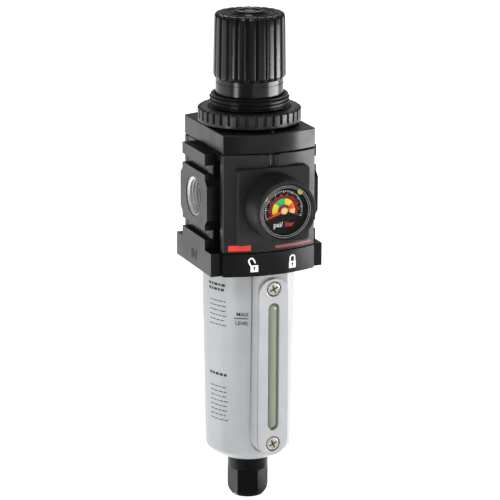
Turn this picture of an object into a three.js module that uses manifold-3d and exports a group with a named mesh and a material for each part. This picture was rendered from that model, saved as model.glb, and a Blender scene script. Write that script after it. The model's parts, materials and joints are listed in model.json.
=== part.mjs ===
// A half-inch modular air filter-regulator: a ported body with a pressure gauge on its front, a
// spring bonnet and adjusting knob on top, and a quarter-turn filter bowl with a drain below.
// Frame: millimetres, X from port to port, -Y to the front, +Z up. The origin is where the port
// axis crosses the axis of the knob and bowl.
import * as THREE from "three";
import { mergeVertices } from "three/addons/utils/BufferGeometryUtils.js";
import Module from "manifold-3d";

const wasm = await Module();
wasm.setup();

// ---- Driving dimensions ----
const GAP = 0.3; // clearance between pieces that touch
const SIDES = 32; // facets on a large round
const FEW = 14; // facets on a small round
const WEE = 8; // facets on a hidden bore

const PORT_FACE = 33.5; // half the port-to-port width
const PORT_RADIUS = 10.6; // mouth of the half-inch taper thread
const THREAD_LENGTH = 15;
const BORE_RADIUS = 8.9; // air way behind the port thread
const PLATE_DEPTH = 17; // half depth of the flat port plates
const BOSS_DEPTH = 20.1; // half depth of the plate's middle, which swells round the port
const BOSS_SWELL = 12.8; // height at which that swelling starts
const GROOVE_LOW = 16; // the clamp grooves lie between these two heights, up and down
const GROOVE_HIGH = 21;
const GROOVE_CUT = 3;
const PLATE_TOP = 27.5;
const CORE = 24; // half width and half depth of the cast core
const BODY_TOP = 28.9;

const COVER_WIDE = 27.45; // half width of covers and bonnet flange
const COVER_DEEP = 29; // half depth at their corners
const COVER_BULGE = 5.5; // how far their fronts swell beyond the corners
const COVER_WALL = 2.4;
const COVER_LOW = -26.6;
const COVER_HIGH = 28.95;
const PAD_HALF = 21.4; // raised square pad round the gauge
const PAD_FRONT = 36;

const BAND_LOW = -40.1; // the locking band below the covers
const BAND_HIGH = -27;
const WING_DEPTH = 26.2;

const FLANGE_LOW = 29.3; // bonnet flange
const FLANGE_HIGH = 40.2;
const COLLAR_RADIUS = 22.4; // threaded collar for the panel nut
const COLLAR_BORE = 19.4;
const COLLAR_HIGH = 56.6;
const TOWER_RADIUS = 16.5; // spring tower inside the knob
const SPRING_BORE = 13.6;
const TOWER_HIGH = 89.9;
const NUT_RADIUS = 28.9;
const NUT_LOW = 40.9;
const NUT_HIGH = 48.9;
const NUT_SLOTS = 36;
const NUT_PHASE = 4.8; // degrees

const KNOB_RADIUS = 20.3;
const KNOB_TOP = 102;
const CAP_TOP = 103.1;
const GRIP_LOW = 65.2;
const SKIRT_RADIUS = 18.95;
const SKIRT_LOW = 49.5;
const KNOB_LOBES = 22;
const SCREW_RADIUS = 4;
const DRIVE_RADIUS = 5.2; // corners of the screw's hexagon

const SEAT_LOW = -4.2; // valve seat
const SEAT_HIGH = 0.8;
const DIAPHRAGM_LOW = 27.3;
const DIAPHRAGM_RADIUS = 24.5;

const GAUGE_Z = 0.5; // gauge axis above the port axis
const GAUGE_RADIUS = 18.2;
const GAUGE_DEEP = 17.8;
const GLASS_RADIUS = 14.6;
const DIAL_FACE = 13.2; // dial face above the pad
const NEEDLE_REST = 112; // degrees anticlockwise of straight up
const LOW_SET = -56; // degrees clockwise of straight up
const HIGH_SET = 43;

const BOWL_TURN = 4; // degrees that the sight glass stands to the right of the front
const BOWL_HIGH = -40.5;
const BOWL_LOW = -154.5;
const BOWL_RADIUS = 26.1;
const BOWL_FOOT_RADIUS = 24.4;
const NECK_RADIUS = 7.4; // threaded spigot for the drain knob
const NECK_LOW = -166;
const SIGHT_FRONT = 32; // front of the sight plate from the bowl's axis
const SIGHT_HALF = 9.2;
const SIGHT_HIGH = -43.2;
const SIGHT_LOW = -147.4;
const SLOT_HALF = 3.4;
const SLOT_HIGH = -57.5;
const SLOT_LOW = -132.5;
const SIGHT_SCREWS = [-49.3, -140.7];
const LUGS = 3;

const DRAIN_HIGH = -154.9;
const DRAIN_LOW = -180.4;
const DRAIN_RADIUS = 11.65;
const DRAIN_FLATS = 10.1; // half the distance across the hexagon's flats
const DRAIN_STEM = 3.1;

// ---- Materials ----
const finish = (color, roughness, metalness, more = {}) =>
  new THREE.MeshStandardMaterial({ color, roughness, metalness, ...more });
const blackPaint = finish(0x26272a, 0.45, 0.1);
const blackPlastic = finish(0x222326, 0.5, 0);
const silverPaint = finish(0xc4c7ca, 0.4, 0.35);
const steel = finish(0xb9b7b2, 0.3, 0.9);
const springSteel = finish(0x9a9c9e, 0.35, 0.9);
const brass = finish(0xb79a54, 0.35, 0.9);
const aluminium = finish(0xb4b7ba, 0.35, 0.8);
const rubber = finish(0x1c1c1d, 0.8, 0);
const acetal = finish(0xd9d8d0, 0.55, 0);
const sintered = finish(0xe6e4dc, 0.85, 0);
const clearGlass = finish(0xcfe3d6, 0.08, 0, { transparent: true, opacity: 0.35 });
const dialBlack = finish(0x151515, 0.6, 0);
const needleRed = finish(0xb3291d, 0.45, 0);
const setYellow = finish(0xc9a41f, 0.5, 0);

// ---- Solids: three.js shapes, joined and cut ----
function solidOf(shape) {
  if (!shape.isBufferGeometry) return shape;
  const bare = shape.index ? shape.toNonIndexed() : shape.clone();
  bare.deleteAttribute("normal");
  bare.deleteAttribute("uv");
  const merged = mergeVertices(bare, 1e-4);
  const vertProperties = merged.attributes.position.array;
  const triVerts = new Uint32Array(merged.index.array);
  const made = new wasm.Manifold(new wasm.Mesh({ numProp: 3, vertProperties, triVerts }));
  if (made.volume() > 0) return made;
  const turned = triVerts.reverse();
  return new wasm.Manifold(new wasm.Mesh({ numProp: 3, vertProperties, triVerts: turned }));
}

const join = (...shapes) => shapes.map(solidOf).reduce((all, one) => all.add(one));
const cut = (base, ...tools) => tools.map(solidOf).reduce((all, one) => all.subtract(one), solidOf(base));
const meet = (one, other) => solidOf(one).intersect(solidOf(other));

function geometryOf(shape) {
  const mesh = solidOf(shape).getMesh();
  const geometry = new THREE.BufferGeometry();
  geometry.setAttribute("position", new THREE.BufferAttribute(mesh.vertProperties, mesh.numProp));
  geometry.setIndex(new THREE.BufferAttribute(mesh.triVerts, 1));
  geometry.computeVertexNormals();
  return geometry;
}

function piece(group, name, shape, material) {
  const mesh = new THREE.Mesh(geometryOf(shape), material);
  mesh.name = name;
  group.add(mesh);
  return mesh;
}

// A profile of [radius, height] points turned about Z. A profile off the axis is closed into a ring.
function turned(profile, sides = SIDES) {
  const ringed = profile[0][0] > 0 ? [...profile, profile[0]] : profile;
  const points = ringed.map(([radius, height]) => new THREE.Vector2(radius, height));
  return new THREE.LatheGeometry(points, sides).rotateX(Math.PI / 2);
}

const drum = (radius, low, high, sides = SIDES) =>
  turned([[0, low], [radius, low], [radius, high], [0, high]], sides);
const ring = (inner, outer, low, high, sides = SIDES) =>
  turned([[inner, low], [outer, low], [outer, high], [inner, high]], sides);
const block = (x0, x1, y0, y1, z0, z1) =>
  new THREE.BoxGeometry(x1 - x0, y1 - y0, z1 - z0).translate((x0 + x1) / 2, (y0 + y1) / 2, (z0 + z1) / 2);
const plate = (shape, low, high, curveSegments = 12) =>
  new THREE.ExtrudeGeometry(shape, { depth: high - low, bevelEnabled: false, curveSegments }).translate(0, 0, low);
const outline = (points) => new THREE.Shape(points.map(([x, y]) => new THREE.Vector2(x, y)));

// Turned shapes are made upright, then laid along X or along Y.
const alongX = (geometry) => geometry.rotateY(Math.PI / 2);
const alongY = (geometry) => geometry.rotateX(Math.PI / 2);
const degrees = (angle) => THREE.MathUtils.degToRad(angle);
const repeat = (count, make) => Array.from({ length: count }, (_, i) => make(i));

// Part of a ring seen from above, centred on an angle in degrees from +X.
function sector(inner, outer, middle, width, low, high) {
  const shape = new THREE.Shape();
  const [from, to] = [degrees(middle - width / 2), degrees(middle + width / 2)];
  shape.absarc(0, 0, outer, from, to, false);
  shape.absarc(0, 0, inner, to, from, true);
  return plate(shape, low, high, 5);
}

// The height-independent outline of covers and bonnet: straight sides, and a front that swells.
const swellRadius = (COVER_WIDE ** 2 + COVER_BULGE ** 2) / (2 * COVER_BULGE);
const swellCentre = COVER_DEEP + COVER_BULGE - swellRadius;

function frontArc(shape, inset = 0) {
  const radius = swellRadius - inset;
  const half = Math.asin((COVER_WIDE - inset) / radius);
  const down = -Math.PI / 2;
  shape.absarc(0, -swellCentre, radius, down - half, down + half, false);
}

function backArc(shape) {
  const half = Math.asin(COVER_WIDE / swellRadius);
  shape.absarc(0, swellCentre, swellRadius, Math.PI / 2 - half, Math.PI / 2 + half, false);
}

function swollenOutline() {
  const shape = new THREE.Shape();
  frontArc(shape);
  backArc(shape);
  return shape;
}

// A round wire wound upwards about Z.
class Coil extends THREE.Curve {
  constructor(radius, low, high, turns) {
    super();
    Object.assign(this, { radius, low, high, turns });
  }

  getPoint(t, target = new THREE.Vector3()) {
    const angle = t * this.turns * 2 * Math.PI;
    const height = this.low + t * (this.high - this.low);
    return target.set(this.radius * Math.cos(angle), this.radius * Math.sin(angle), height);
  }
}

function wire(path, radius, steps, sides = 6) {
  const section = outline(repeat(sides, (i) => {
    const angle = (i / sides) * 2 * Math.PI;
    return [radius * Math.cos(angle), radius * Math.sin(angle)];
  }));
  return new THREE.ExtrudeGeometry(section, { steps, extrudePath: path, bevelEnabled: false });
}

const spring = (radius, thick, low, high, turns) =>
  wire(new Coil(radius, low + thick, high - thick, turns), thick, turns * 11, 5);

// ---- Body: the cast core with its ports, clamp grooves and locking band ----
const SCREW_PLACE = 20.3; // bonnet screws, from the axis in X and in Y
const CAVITY_RADIUS = 24.4; // locking band inside
const LIP_RADIUS = 22.9; // lips that hold the bowl's lugs
const LIP_HIGH = -37.3;
const CAVITY_HIGH = -28.6;
const INLET_DROP = 17; // the drop passage from the inlet, off the axis
const UNLOCK = 40; // degrees that the bowl turns to come free
const corners = [[1, 1], [-1, 1], [-1, -1], [1, -1]];

function bodyOutside() {
  const full = BOSS_SWELL - (BOSS_DEPTH - PLATE_DEPTH);
  const boss = [1, -1].flatMap((side) => [
    [side * GROOVE_LOW, side * PLATE_DEPTH],
    [side * BOSS_SWELL, side * PLATE_DEPTH],
    [side * full, side * BOSS_DEPTH],
    [-side * full, side * BOSS_DEPTH],
    [-side * BOSS_SWELL, side * PLATE_DEPTH],
    [-side * GROOVE_LOW, side * PLATE_DEPTH],
  ]);
  return join(
    block(-CORE, CORE, -CORE, CORE, BAND_HIGH - 1, BODY_TOP),
    block(-PORT_FACE, PORT_FACE, -PLATE_DEPTH, PLATE_DEPTH, BAND_HIGH - 1, PLATE_TOP),
    block(-CORE - 4, CORE + 4, -PLATE_DEPTH + 1, PLATE_DEPTH - 1, 0, BODY_TOP),
    alongX(plate(outline(boss), -PORT_FACE, PORT_FACE)),
    plate(swollenOutline(), BAND_LOW, BAND_HIGH),
    block(-PORT_FACE, PORT_FACE, -WING_DEPTH, WING_DEPTH, BAND_LOW, BAND_HIGH),
  );
}

function clampGrooves() {
  const grooves = [];
  for (const side of [1, -1]) {
    for (const height of [1, -1]) {
      const [inner, outer] = [PORT_FACE - GROOVE_CUT, PORT_FACE + 1].map((x) => side * x);
      const [low, high] = [GROOVE_LOW, GROOVE_HIGH].map((z) => height * z);
      grooves.push(block(Math.min(inner, outer), Math.max(inner, outer), -CORE - 1, CORE + 1,
        Math.min(low, high), Math.max(low, high)));
    }
  }
  return grooves;
}

// The room of a taper thread, as a row of ridges that starts at the face and runs up.
function portThread() {
  const pitch = 3.4;
  const taper = 1 / 32;
  const ridge = 0.9;
  const profile = [[0, -1], [PORT_RADIUS + 0.4, -1], [PORT_RADIUS + 0.4, 0.3]];
  for (let i = 0; i < 4; i += 1) {
    const root = PORT_RADIUS - i * pitch * taper;
    profile.push([root - ridge, 0.9 + i * pitch], [root, 0.9 + (i + 0.5) * pitch]);
  }
  profile.push([BORE_RADIUS, THREAD_LENGTH], [0, THREAD_LENGTH]);
  return turned(profile, 20);
}

// The air's way through: inlet, drop to the bowl, valve bore, outlet chamber, diaphragm chamber.
function airWays() {
  const threadEnd = PORT_FACE - THREAD_LENGTH;
  return [
    alongX(portThread()).translate(-PORT_FACE, 0, 0),
    alongX(portThread().rotateX(Math.PI)).translate(PORT_FACE, 0, 0),
    alongX(drum(BORE_RADIUS, -threadEnd - 1, -12.5, FEW)),
    alongX(drum(BORE_RADIUS, 12.5, threadEnd + 1, FEW)),
    drum(5.5, CAVITY_HIGH - 1, 0, FEW).translate(-INLET_DROP, 0, 0),
    drum(9, CAVITY_HIGH - 1, SEAT_LOW - GAP, 24),
    drum(7.5, SEAT_LOW - 1, SEAT_HIGH + 1, 24),
    drum(8, SEAT_HIGH + 0.5, 12, 24),
    alongX(drum(3.6, 0, 20, WEE)).translate(0, 0, 6),
    drum(2, 10, 21, WEE),
    drum(1.5, 6, 21, WEE).translate(13.5, 0, 0),
    drum(21, 20, BODY_TOP + 1, 28),
    drum(DIAPHRAGM_RADIUS + GAP, DIAPHRAGM_LOW - GAP, BODY_TOP + 1),
  ];
}

function gaugePorts() {
  const tools = [];
  for (const side of [-1, 1]) {
    const inward = (near, far) => [Math.min(side * near, side * far), Math.max(side * near, side * far)];
    const hole = (radius, near, far, z) => {
      const [low, high] = inward(near, far);
      return alongY(drum(radius, -high, -low, FEW)).translate(0, 0, z);
    };
    tools.push(hole(5.4, 12, CORE + 1, GAUGE_Z), hole(7.1, 21.6, CORE + 1, GAUGE_Z), hole(1.2, 6, 13, 4));
  }
  return tools;
}

function body() {
  const lowerCavity = turned([[0, CAVITY_HIGH], [CAVITY_RADIUS, CAVITY_HIGH], [CAVITY_RADIUS, LIP_HIGH],
    [LIP_RADIUS, LIP_HIGH], [LIP_RADIUS, BAND_LOW - 1], [0, BAND_LOW - 1]]);
  const lugWays = repeat(LUGS, (i) =>
    sector(LIP_RADIUS - 1, CAVITY_RADIUS, i * 360 / LUGS + BOWL_TURN - UNLOCK, 34, BAND_LOW - 1, LIP_HIGH + 1));
  const screwHoles = corners.map(([sx, sy]) =>
    drum(2, 5, BODY_TOP + 1, WEE).translate(sx * SCREW_PLACE, sy * SCREW_PLACE, 0));
  const screwPockets = corners.map(([sx, sy]) => {
    const far = sy * (CORE + 1);
    const near = sy * 16.6;
    const side = sx * SCREW_PLACE;
    return block(side - 3.5, side + 3.5, Math.min(near, far), Math.max(near, far), 0, 10);
  });
  return cut(bodyOutside(), ...clampGrooves(), ...airWays(), ...gaugePorts(), lowerCavity,
    ...lugWays, ...screwHoles, ...screwPockets);
}

// ---- Covers: thin swollen shells that snap over the core, front and back ----
function cover() {
  const outer = new THREE.Shape();
  outer.moveTo(-COVER_WIDE, -CORE - GAP);
  frontArc(outer);
  outer.lineTo(COVER_WIDE, -CORE - GAP);
  const inner = new THREE.Shape();
  inner.moveTo(-COVER_WIDE + COVER_WALL, -CORE + 1);
  frontArc(inner, COVER_WALL);
  inner.lineTo(COVER_WIDE - COVER_WALL, -CORE + 1);
  const chamfer = 2.6;
  const pad = outline([[-PAD_HALF + chamfer, -PAD_HALF], [PAD_HALF - chamfer, -PAD_HALF],
    [PAD_HALF, -PAD_HALF + chamfer], [PAD_HALF, PAD_HALF - chamfer], [PAD_HALF - chamfer, PAD_HALF],
    [-PAD_HALF + chamfer, PAD_HALF], [-PAD_HALF, PAD_HALF - chamfer], [-PAD_HALF, -PAD_HALF + chamfer]]);
  const padBlock = alongY(plate(pad, COVER_DEEP, PAD_FRONT));
  const hollow = plate(inner, COVER_LOW + COVER_WALL, COVER_HIGH - COVER_WALL);
  const gaugeHole = alongY(drum(6.2, CORE - 2, PAD_FRONT + 1, FEW)).translate(0, 0, GAUGE_Z);
  const pryNotch = drum(2.85, PAD_HALF, COVER_HIGH + 1, FEW).translate(0, -COVER_DEEP - COVER_BULGE - 0.9, 0);
  return cut(join(plate(outer, COVER_LOW, COVER_HIGH), padBlock), hollow, gaugeHole, pryNotch);
}

// ---- Bonnet: flange, threaded collar and the spring tower inside the knob ----
function bonnet() {
  const grooveFloor = 46;
  const wallOfTower = turned([[0, FLANGE_HIGH - 1], [COLLAR_RADIUS, FLANGE_HIGH - 1],
    [COLLAR_RADIUS, COLLAR_HIGH - 1], [COLLAR_RADIUS - 1, COLLAR_HIGH], [COLLAR_BORE, COLLAR_HIGH],
    [COLLAR_BORE, grooveFloor], [TOWER_RADIUS, grooveFloor], [TOWER_RADIUS, TOWER_HIGH], [0, TOWER_HIGH]]);
  const springRoom = turned([[0, FLANGE_LOW - 1], [21, FLANGE_LOW - 1], [21, 36], [SPRING_BORE, 36],
    [SPRING_BORE, 86], [4.95, 86], [4.95, TOWER_HIGH + 1], [0, TOWER_HIGH + 1]], 28);
  const keyways = [1, -1].map((side) =>
    block(-1.6, 1.6, Math.min(0, side * 14.9), Math.max(0, side * 14.9), 40, 84));
  const vent = alongY(drum(1.2, -COVER_DEEP - 8, -19, WEE)).translate(0, 0, 33);
  const threads = corners.map(([sx, sy]) =>
    drum(2, FLANGE_LOW - 1, 38, WEE).translate(sx * SCREW_PLACE, sy * SCREW_PLACE, 0));
  return cut(join(plate(swollenOutline(), FLANGE_LOW, FLANGE_HIGH), wallOfTower), springRoom, ...keyways,
    vent, ...threads);
}

const bonnetScrew = () =>
  join(drum(3, 6.6, 9.7, FEW), drum(1.7, 9, 37, WEE));

function panelNut() {
  const slots = repeat(NUT_SLOTS, (i) =>
    block(NUT_RADIUS - 1.3, NUT_RADIUS + 1, -0.8, 0.8, NUT_LOW + 2.4, NUT_HIGH + 1)
      .rotateZ((i / NUT_SLOTS) * 2 * Math.PI + NUT_PHASE * Math.PI / 180));
  const rim = turned([[COLLAR_RADIUS + GAP, NUT_LOW], [NUT_RADIUS, NUT_LOW], [NUT_RADIUS, NUT_HIGH],
    [COLLAR_RADIUS + GAP, NUT_HIGH]], NUT_SLOTS * 2);
  return cut(rim, ...slots);
}

// ---- Knob, screw and spring ----
function hexagon(radius, low, high) {
  return drum(radius, low, high, 6);
}

function knob() {
  const outside = turned([[0, SKIRT_LOW], [SKIRT_RADIUS, SKIRT_LOW], [SKIRT_RADIUS, GRIP_LOW],
    [KNOB_RADIUS, GRIP_LOW + 2.2],
    [KNOB_RADIUS - 0.6, KNOB_TOP - 1], [KNOB_RADIUS - 1.6, KNOB_TOP], [0, KNOB_TOP]], KNOB_LOBES * 2);
  const grooves = repeat(KNOB_LOBES, (i) =>
    block(KNOB_RADIUS - 1.3, KNOB_RADIUS + 1, -0.8, 0.8, GRIP_LOW + 2.8, KNOB_TOP + 1)
      .rotateZ(((i + 0.5) / KNOB_LOBES) * 2 * Math.PI));
  const cavity = turned([[0, SKIRT_LOW - 1], [TOWER_RADIUS + 0.6, SKIRT_LOW - 1],
    [TOWER_RADIUS + 0.6, 95], [0, 95]]);
  const capSeat = drum(8.8, KNOB_TOP - 1.7, KNOB_TOP + 1, 24);
  const hub = drum(8.5, 90.6, 96, 24);
  const socket = hexagon(DRIVE_RADIUS + 0.35, 89, 98);
  return cut(join(cut(outside, cavity), hub), capSeat, socket, ...grooves);
}

const knobCap = () =>
  turned([[0, CAP_TOP - 2.4], [8.5, CAP_TOP - 2.4], [8.5, CAP_TOP - 0.4], [8.1, CAP_TOP], [6.2, CAP_TOP],
    [5.7, CAP_TOP - 0.7], [0, CAP_TOP - 0.7]], 24);

const adjustingScrew = () =>
  join(drum(SCREW_RADIUS, 56, 83, FEW), drum(7, 82, 84, FEW), drum(4.6, 83, 91, FEW),
    hexagon(DRIVE_RADIUS, 90.6, 97));

function springSeat() {
  const keys = [1, -1].map((side) =>
    block(-1.2, 1.2, Math.min(10 * side, 14.6 * side), Math.max(10 * side, 14.6 * side), 72, 79));
  const nut = turned([[SCREW_RADIUS + GAP, 70], [8.4, 70], [8.4, 72], [13.2, 72], [13.2, 75],
    [8.4, 77], [8.4, 79.5], [SCREW_RADIUS + GAP, 79.5]], 20);
  return join(nut, ...keys);
}

// ---- Diaphragm and valve ----
const diaphragm = () =>
  turned([[4, DIAPHRAGM_LOW], [15, DIAPHRAGM_LOW], [17, DIAPHRAGM_LOW - 0.9], [19, DIAPHRAGM_LOW - 0.9],
    [20.6, DIAPHRAGM_LOW], [DIAPHRAGM_RADIUS, DIAPHRAGM_LOW], [DIAPHRAGM_RADIUS, DIAPHRAGM_LOW + 1.5],
    [20, DIAPHRAGM_LOW + 1.5], [18.4, DIAPHRAGM_LOW + 0.3], [17.4, DIAPHRAGM_LOW + 0.3],
    [16, DIAPHRAGM_LOW + 1.5], [4, DIAPHRAGM_LOW + 1.5]], 24);

const diaphragmPlate = () =>
  turned([[3.9, 29.3], [14.6, 29.3], [14.6, 31.4], [9, 31.4], [8.4, 33.4], [6.6, 33.4], [3.9, 31.4]], 24);

const reliefSeat = () =>
  turned([[1, 21.9], [3.2, 21.9], [3.6, 24.9], [12.6, 25.2], [12.6, 26.6], [3.6, 26.9], [3.6, 31],
    [1, 31]], 20);

const valveSeat = () =>
  turned([[4.8, SEAT_LOW + 0.8], [5.4, SEAT_LOW], [6.2, SEAT_LOW + 0.8], [7.2, SEAT_LOW + 0.8],
    [7.2, SEAT_HIGH], [4.8, SEAT_HIGH]], 20);

const valvePoppet = () =>
  turned([[0, -21], [2.2, -21], [2.2, -8.4], [6.6, -7.6], [6.6, SEAT_LOW - GAP], [1.5, SEAT_LOW - GAP],
    [1.5, 21], [0.9, 21.6], [0, 21.6]], 16);

function valveGuide() {
  const windows = repeat(4, (i) => drum(1.7, -28, -15, WEE).translate(6.2, 0, 0).rotateZ((i * Math.PI) / 2));
  return cut(turned([[2.5, -25], [8.7, -25], [8.7, -17.2], [4.6, -17.2], [4.6, -16.4], [2.5, -16.4]], 20),
    ...windows);
}

// ---- Filter: swirl ring, element, baffle and the post that holds them ----
function airGuide() {
  const slots = repeat(12, (i) =>
    block(13.2, 18.4, -0.9, 0.9, -36, -25).rotateX(0.6).rotateZ((i / 12) * 2 * Math.PI));
  const rim = turned([[7.6, -35], [10.2, -35], [10.2, -31.2], [19.7, -31.2], [19.7, -28.95], [7.6, -28.95]], 24);
  const bridge = block(-8, 8, -2.6, 2.6, -35, -33);
  return cut(join(rim, bridge), ...slots, drum(1.9, -36, -30, WEE));
}

const filterElement = () => ring(8.6, 13, -82, -35.4, 24);
const baffle = () =>
  turned([[3.2, -84.6], [13.6, -84.6], [13.6, -82.4], [14.6, -82.4], [18.4, -88], [17.4, -88],
    [13.4, -86.2], [3.2, -86.2]], 24);
const elementRetainer = () =>
  join(drum(1.6, -90, -31.6, WEE), turned([[0, -94], [5, -94], [7.4, -91], [7.4, -86.6], [0, -86.6]], FEW));

// ---- Bowl and sight glass, with the sight glass towards -Y ----
function sightOutline(half, low, high) {
  const shape = new THREE.Shape();
  shape.absarc(0, high - half, half, 0, Math.PI, false);
  shape.absarc(0, low + half, half, Math.PI, 2 * Math.PI, false);
  return shape;
}

// A long rounded plate standing on the bowl's front, between two distances from the axis.
const upright = (half, low, high, near, far) => alongY(plate(sightOutline(half, low, high), near, far, 8));

const BOSS_FRONT = SIGHT_FRONT - 1.8;
const GLASS_BACK = 25.6;

function bowl() {
  const taper = [[BOWL_RADIUS, BOWL_HIGH], [25.95, -64], [25.3, -94], [24.8, -124],
    [BOWL_FOOT_RADIUS, -148.4], [18, -153.6], [12, BOWL_LOW]];
  const outside = turned([[0, -31.1], [22.3, -31.1], [22.3, BOWL_HIGH], ...taper,
    [NECK_RADIUS, BOWL_LOW], [NECK_RADIUS, NECK_LOW], [0, NECK_LOW]]);
  const half = SIGHT_HALF + 0.4;
  const boss = join(upright(half, SIGHT_LOW - 0.4, SIGHT_HIGH, 18, BOSS_FRONT),
    block(-half, half, -BOSS_FRONT, -18, -100, BOWL_HIGH - GAP));
  const room = turned([[0, -30], [20.1, -30], [20.1, -42], [22.6, -46], [21.6, -120], [20.8, -146],
    [17, -149.2], [0, -149.2]], 28);
  const glassSeat = upright(SLOT_HALF + 1.9, SLOT_LOW - 2, SLOT_HIGH + 2, GLASS_BACK - 1.3, SIGHT_FRONT);
  const window = upright(SLOT_HALF - 0.4, SLOT_LOW + 1, SLOT_HIGH - 1, 15, GLASS_BACK);
  const threads = SIGHT_SCREWS.map((z) => alongY(drum(1.9, 23.6, SIGHT_FRONT, WEE)).translate(0, 0, z));
  const drainWay = drum(DRAIN_STEM + 0.35, NECK_LOW - 1, -148, FEW);
  const lugs = repeat(LUGS, (i) => sector(21, 24, i * 360 / LUGS, 30, -36.9, -34));
  const shell = cut(join(outside, boss, ...lugs), room);
  return cut(shell, glassSeat, window, ...threads, drainWay);
}

const sightGasket = () =>
  cut(upright(SLOT_HALF + 1.5, SLOT_LOW - 1.6, SLOT_HIGH + 1.6, GLASS_BACK - 1, GLASS_BACK - 0.1),
    upright(SLOT_HALF - 0.2, SLOT_LOW + 0.6, SLOT_HIGH - 0.6, GLASS_BACK - 2, GLASS_BACK + 1));
const sightGlass = () =>
  upright(SLOT_HALF + 1.5, SLOT_LOW - 1.6, SLOT_HIGH + 1.6, GLASS_BACK + 0.2, BOSS_FRONT - 0.1);

function sightPlate() {
  const blank = upright(SIGHT_HALF, SIGHT_LOW, SIGHT_HIGH, BOSS_FRONT + GAP, SIGHT_FRONT);
  const slot = upright(SLOT_HALF, SLOT_LOW, SLOT_HIGH, BOSS_FRONT - 1, SIGHT_FRONT + 1);
  const sinks = SIGHT_SCREWS.map((z) => alongY(drum(4.4, BOSS_FRONT - 1, SIGHT_FRONT + 1, FEW)).translate(0, 0, z));
  return cut(blank, slot, ...sinks);
}

function sightScrew() {
  const head = drum(4, BOSS_FRONT + GAP, SIGHT_FRONT - 0.2, FEW);
  const shank = drum(1.6, 23.8, BOSS_FRONT + 1, WEE);
  const cross = [block(-2.3, 2.3, -0.5, 0.5, SIGHT_FRONT - 1.1, SIGHT_FRONT + 1),
    block(-0.5, 0.5, -2.3, 2.3, SIGHT_FRONT - 1.1, SIGHT_FRONT + 1)];
  return cut(join(head, shank), ...cross);
}

// ---- Drain ----
function drainKnob() {
  const round = turned([[0, DRAIN_LOW], [9, DRAIN_LOW], [10.9, DRAIN_LOW + 2.7], [DRAIN_RADIUS, DRAIN_LOW + 4],
    [DRAIN_RADIUS, DRAIN_HIGH], [0, DRAIN_HIGH]]);
  const flats = hexagon(DRAIN_FLATS / Math.cos(Math.PI / 6), DRAIN_LOW - 1, -163.5);
  const grip = meet(round, join(flats, drum(DRAIN_RADIUS + 1, -163.5, DRAIN_HIGH + 1)));
  const bore = turned([[0, DRAIN_LOW - 1], [4.4, DRAIN_LOW - 1], [4.4, DRAIN_LOW + 6], [DRAIN_STEM + 0.4, DRAIN_LOW + 7],
    [DRAIN_STEM + 0.4, NECK_LOW - 0.6], [NECK_RADIUS + GAP, NECK_LOW - 0.6], [NECK_RADIUS + GAP, DRAIN_HIGH + 1],
    [0, DRAIN_HIGH + 1]], 20);
  return cut(grip, bore);
}

const drainStem = () =>
  turned([[0, -172], [DRAIN_STEM, -172], [DRAIN_STEM, -146.6], [6.4, -146.6], [6.4, -144.6], [0, -144]], FEW);
const drainSeal = () => ring(3.5, 6.2, -148.9, -146.9, FEW);

// ---- Gauge, built upright with its face up, then turned to face the front ----
const gaugeCase = () =>
  turned([[5.5, GAP], [GAUGE_RADIUS, GAP], [GAUGE_RADIUS - 0.55, 16.1], [16.3, 16.1], [16.3, 2.4], [5.5, 2.4]]);
const gaugeBezel = () =>
  turned([[GLASS_RADIUS + 0.3, 16.5], [GAUGE_RADIUS - 0.6, 16.5], [GAUGE_RADIUS - 0.6, GAUGE_DEEP - 0.4],
    [GAUGE_RADIUS - 1.1, GAUGE_DEEP], [GLASS_RADIUS, GAUGE_DEEP - 0.7]]);
const gaugeLens = () => drum(15.7, 15.2, 16.2, 28);
const gaugeDial = () => ring(1, 15.9, DIAL_FACE - 0.8, DIAL_FACE, 28);

function gaugeSocket() {
  const stem = turned([[0, -23.4], [5, -23.4], [5, 2.9], [7, 2.9], [7, 6.2], [0, 6.2]], 24);
  const arm = block(-2, 2, -12.6, 0, 3, 6.2);
  return cut(join(stem, arm), drum(1.2, -24, 4, WEE));
}

const gaugeMovement = () =>
  cut(join(block(-5.5, 5.5, -4, 4, 6.6, 8), block(-3, 3, -1.8, 1.8, 8, 11.4)), drum(0.9, 7, 12, WEE));

class Bow extends THREE.Curve {
  getPoint(t, target = new THREE.Vector3()) {
    const angle = degrees(-88 + 250 * t);
    return target.set(11.2 * Math.cos(angle), 11.2 * Math.sin(angle), 7.9);
  }
}

function gaugeNeedle() {
  const blade = outline([[-0.75, -4.6], [0.75, -4.6], [0.6, 0], [0.14, 11.4], [-0.14, 11.4], [-0.6, 0]]);
  return join(plate(blade, 13.8, 14.15), drum(1.9, 13.6, 14.7, FEW), drum(0.6, 8.6, 14, WEE));
}

// A tab on a thin ring that lies round the edge of the dial.
const setPointer = (low) =>
  join(ring(14.9, 15.9, low, low + 0.3, 28), block(-0.7, 0.7, 12.1, 15.4, low, low + 0.3));

const rearPlug = () =>
  join(drum(5, 13, CORE, FEW), drum(6.6, 22.2, CORE - 0.1, FEW), hexagon(5.6, CORE - 0.5, CORE + 3.6));

// ---- Assembly ----
const regulator = new THREE.Group();

piece(regulator, "body", body(), blackPaint);
piece(regulator, "front_cover", cover(), blackPlastic);
const rearCover = piece(regulator, "rear_cover", cover(), blackPlastic);
rearCover.rotation.z = Math.PI;
const plug = piece(regulator, "rear_port_plug", rearPlug(), steel);
plug.rotation.x = -Math.PI / 2;
plug.position.z = GAUGE_Z;

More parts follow.
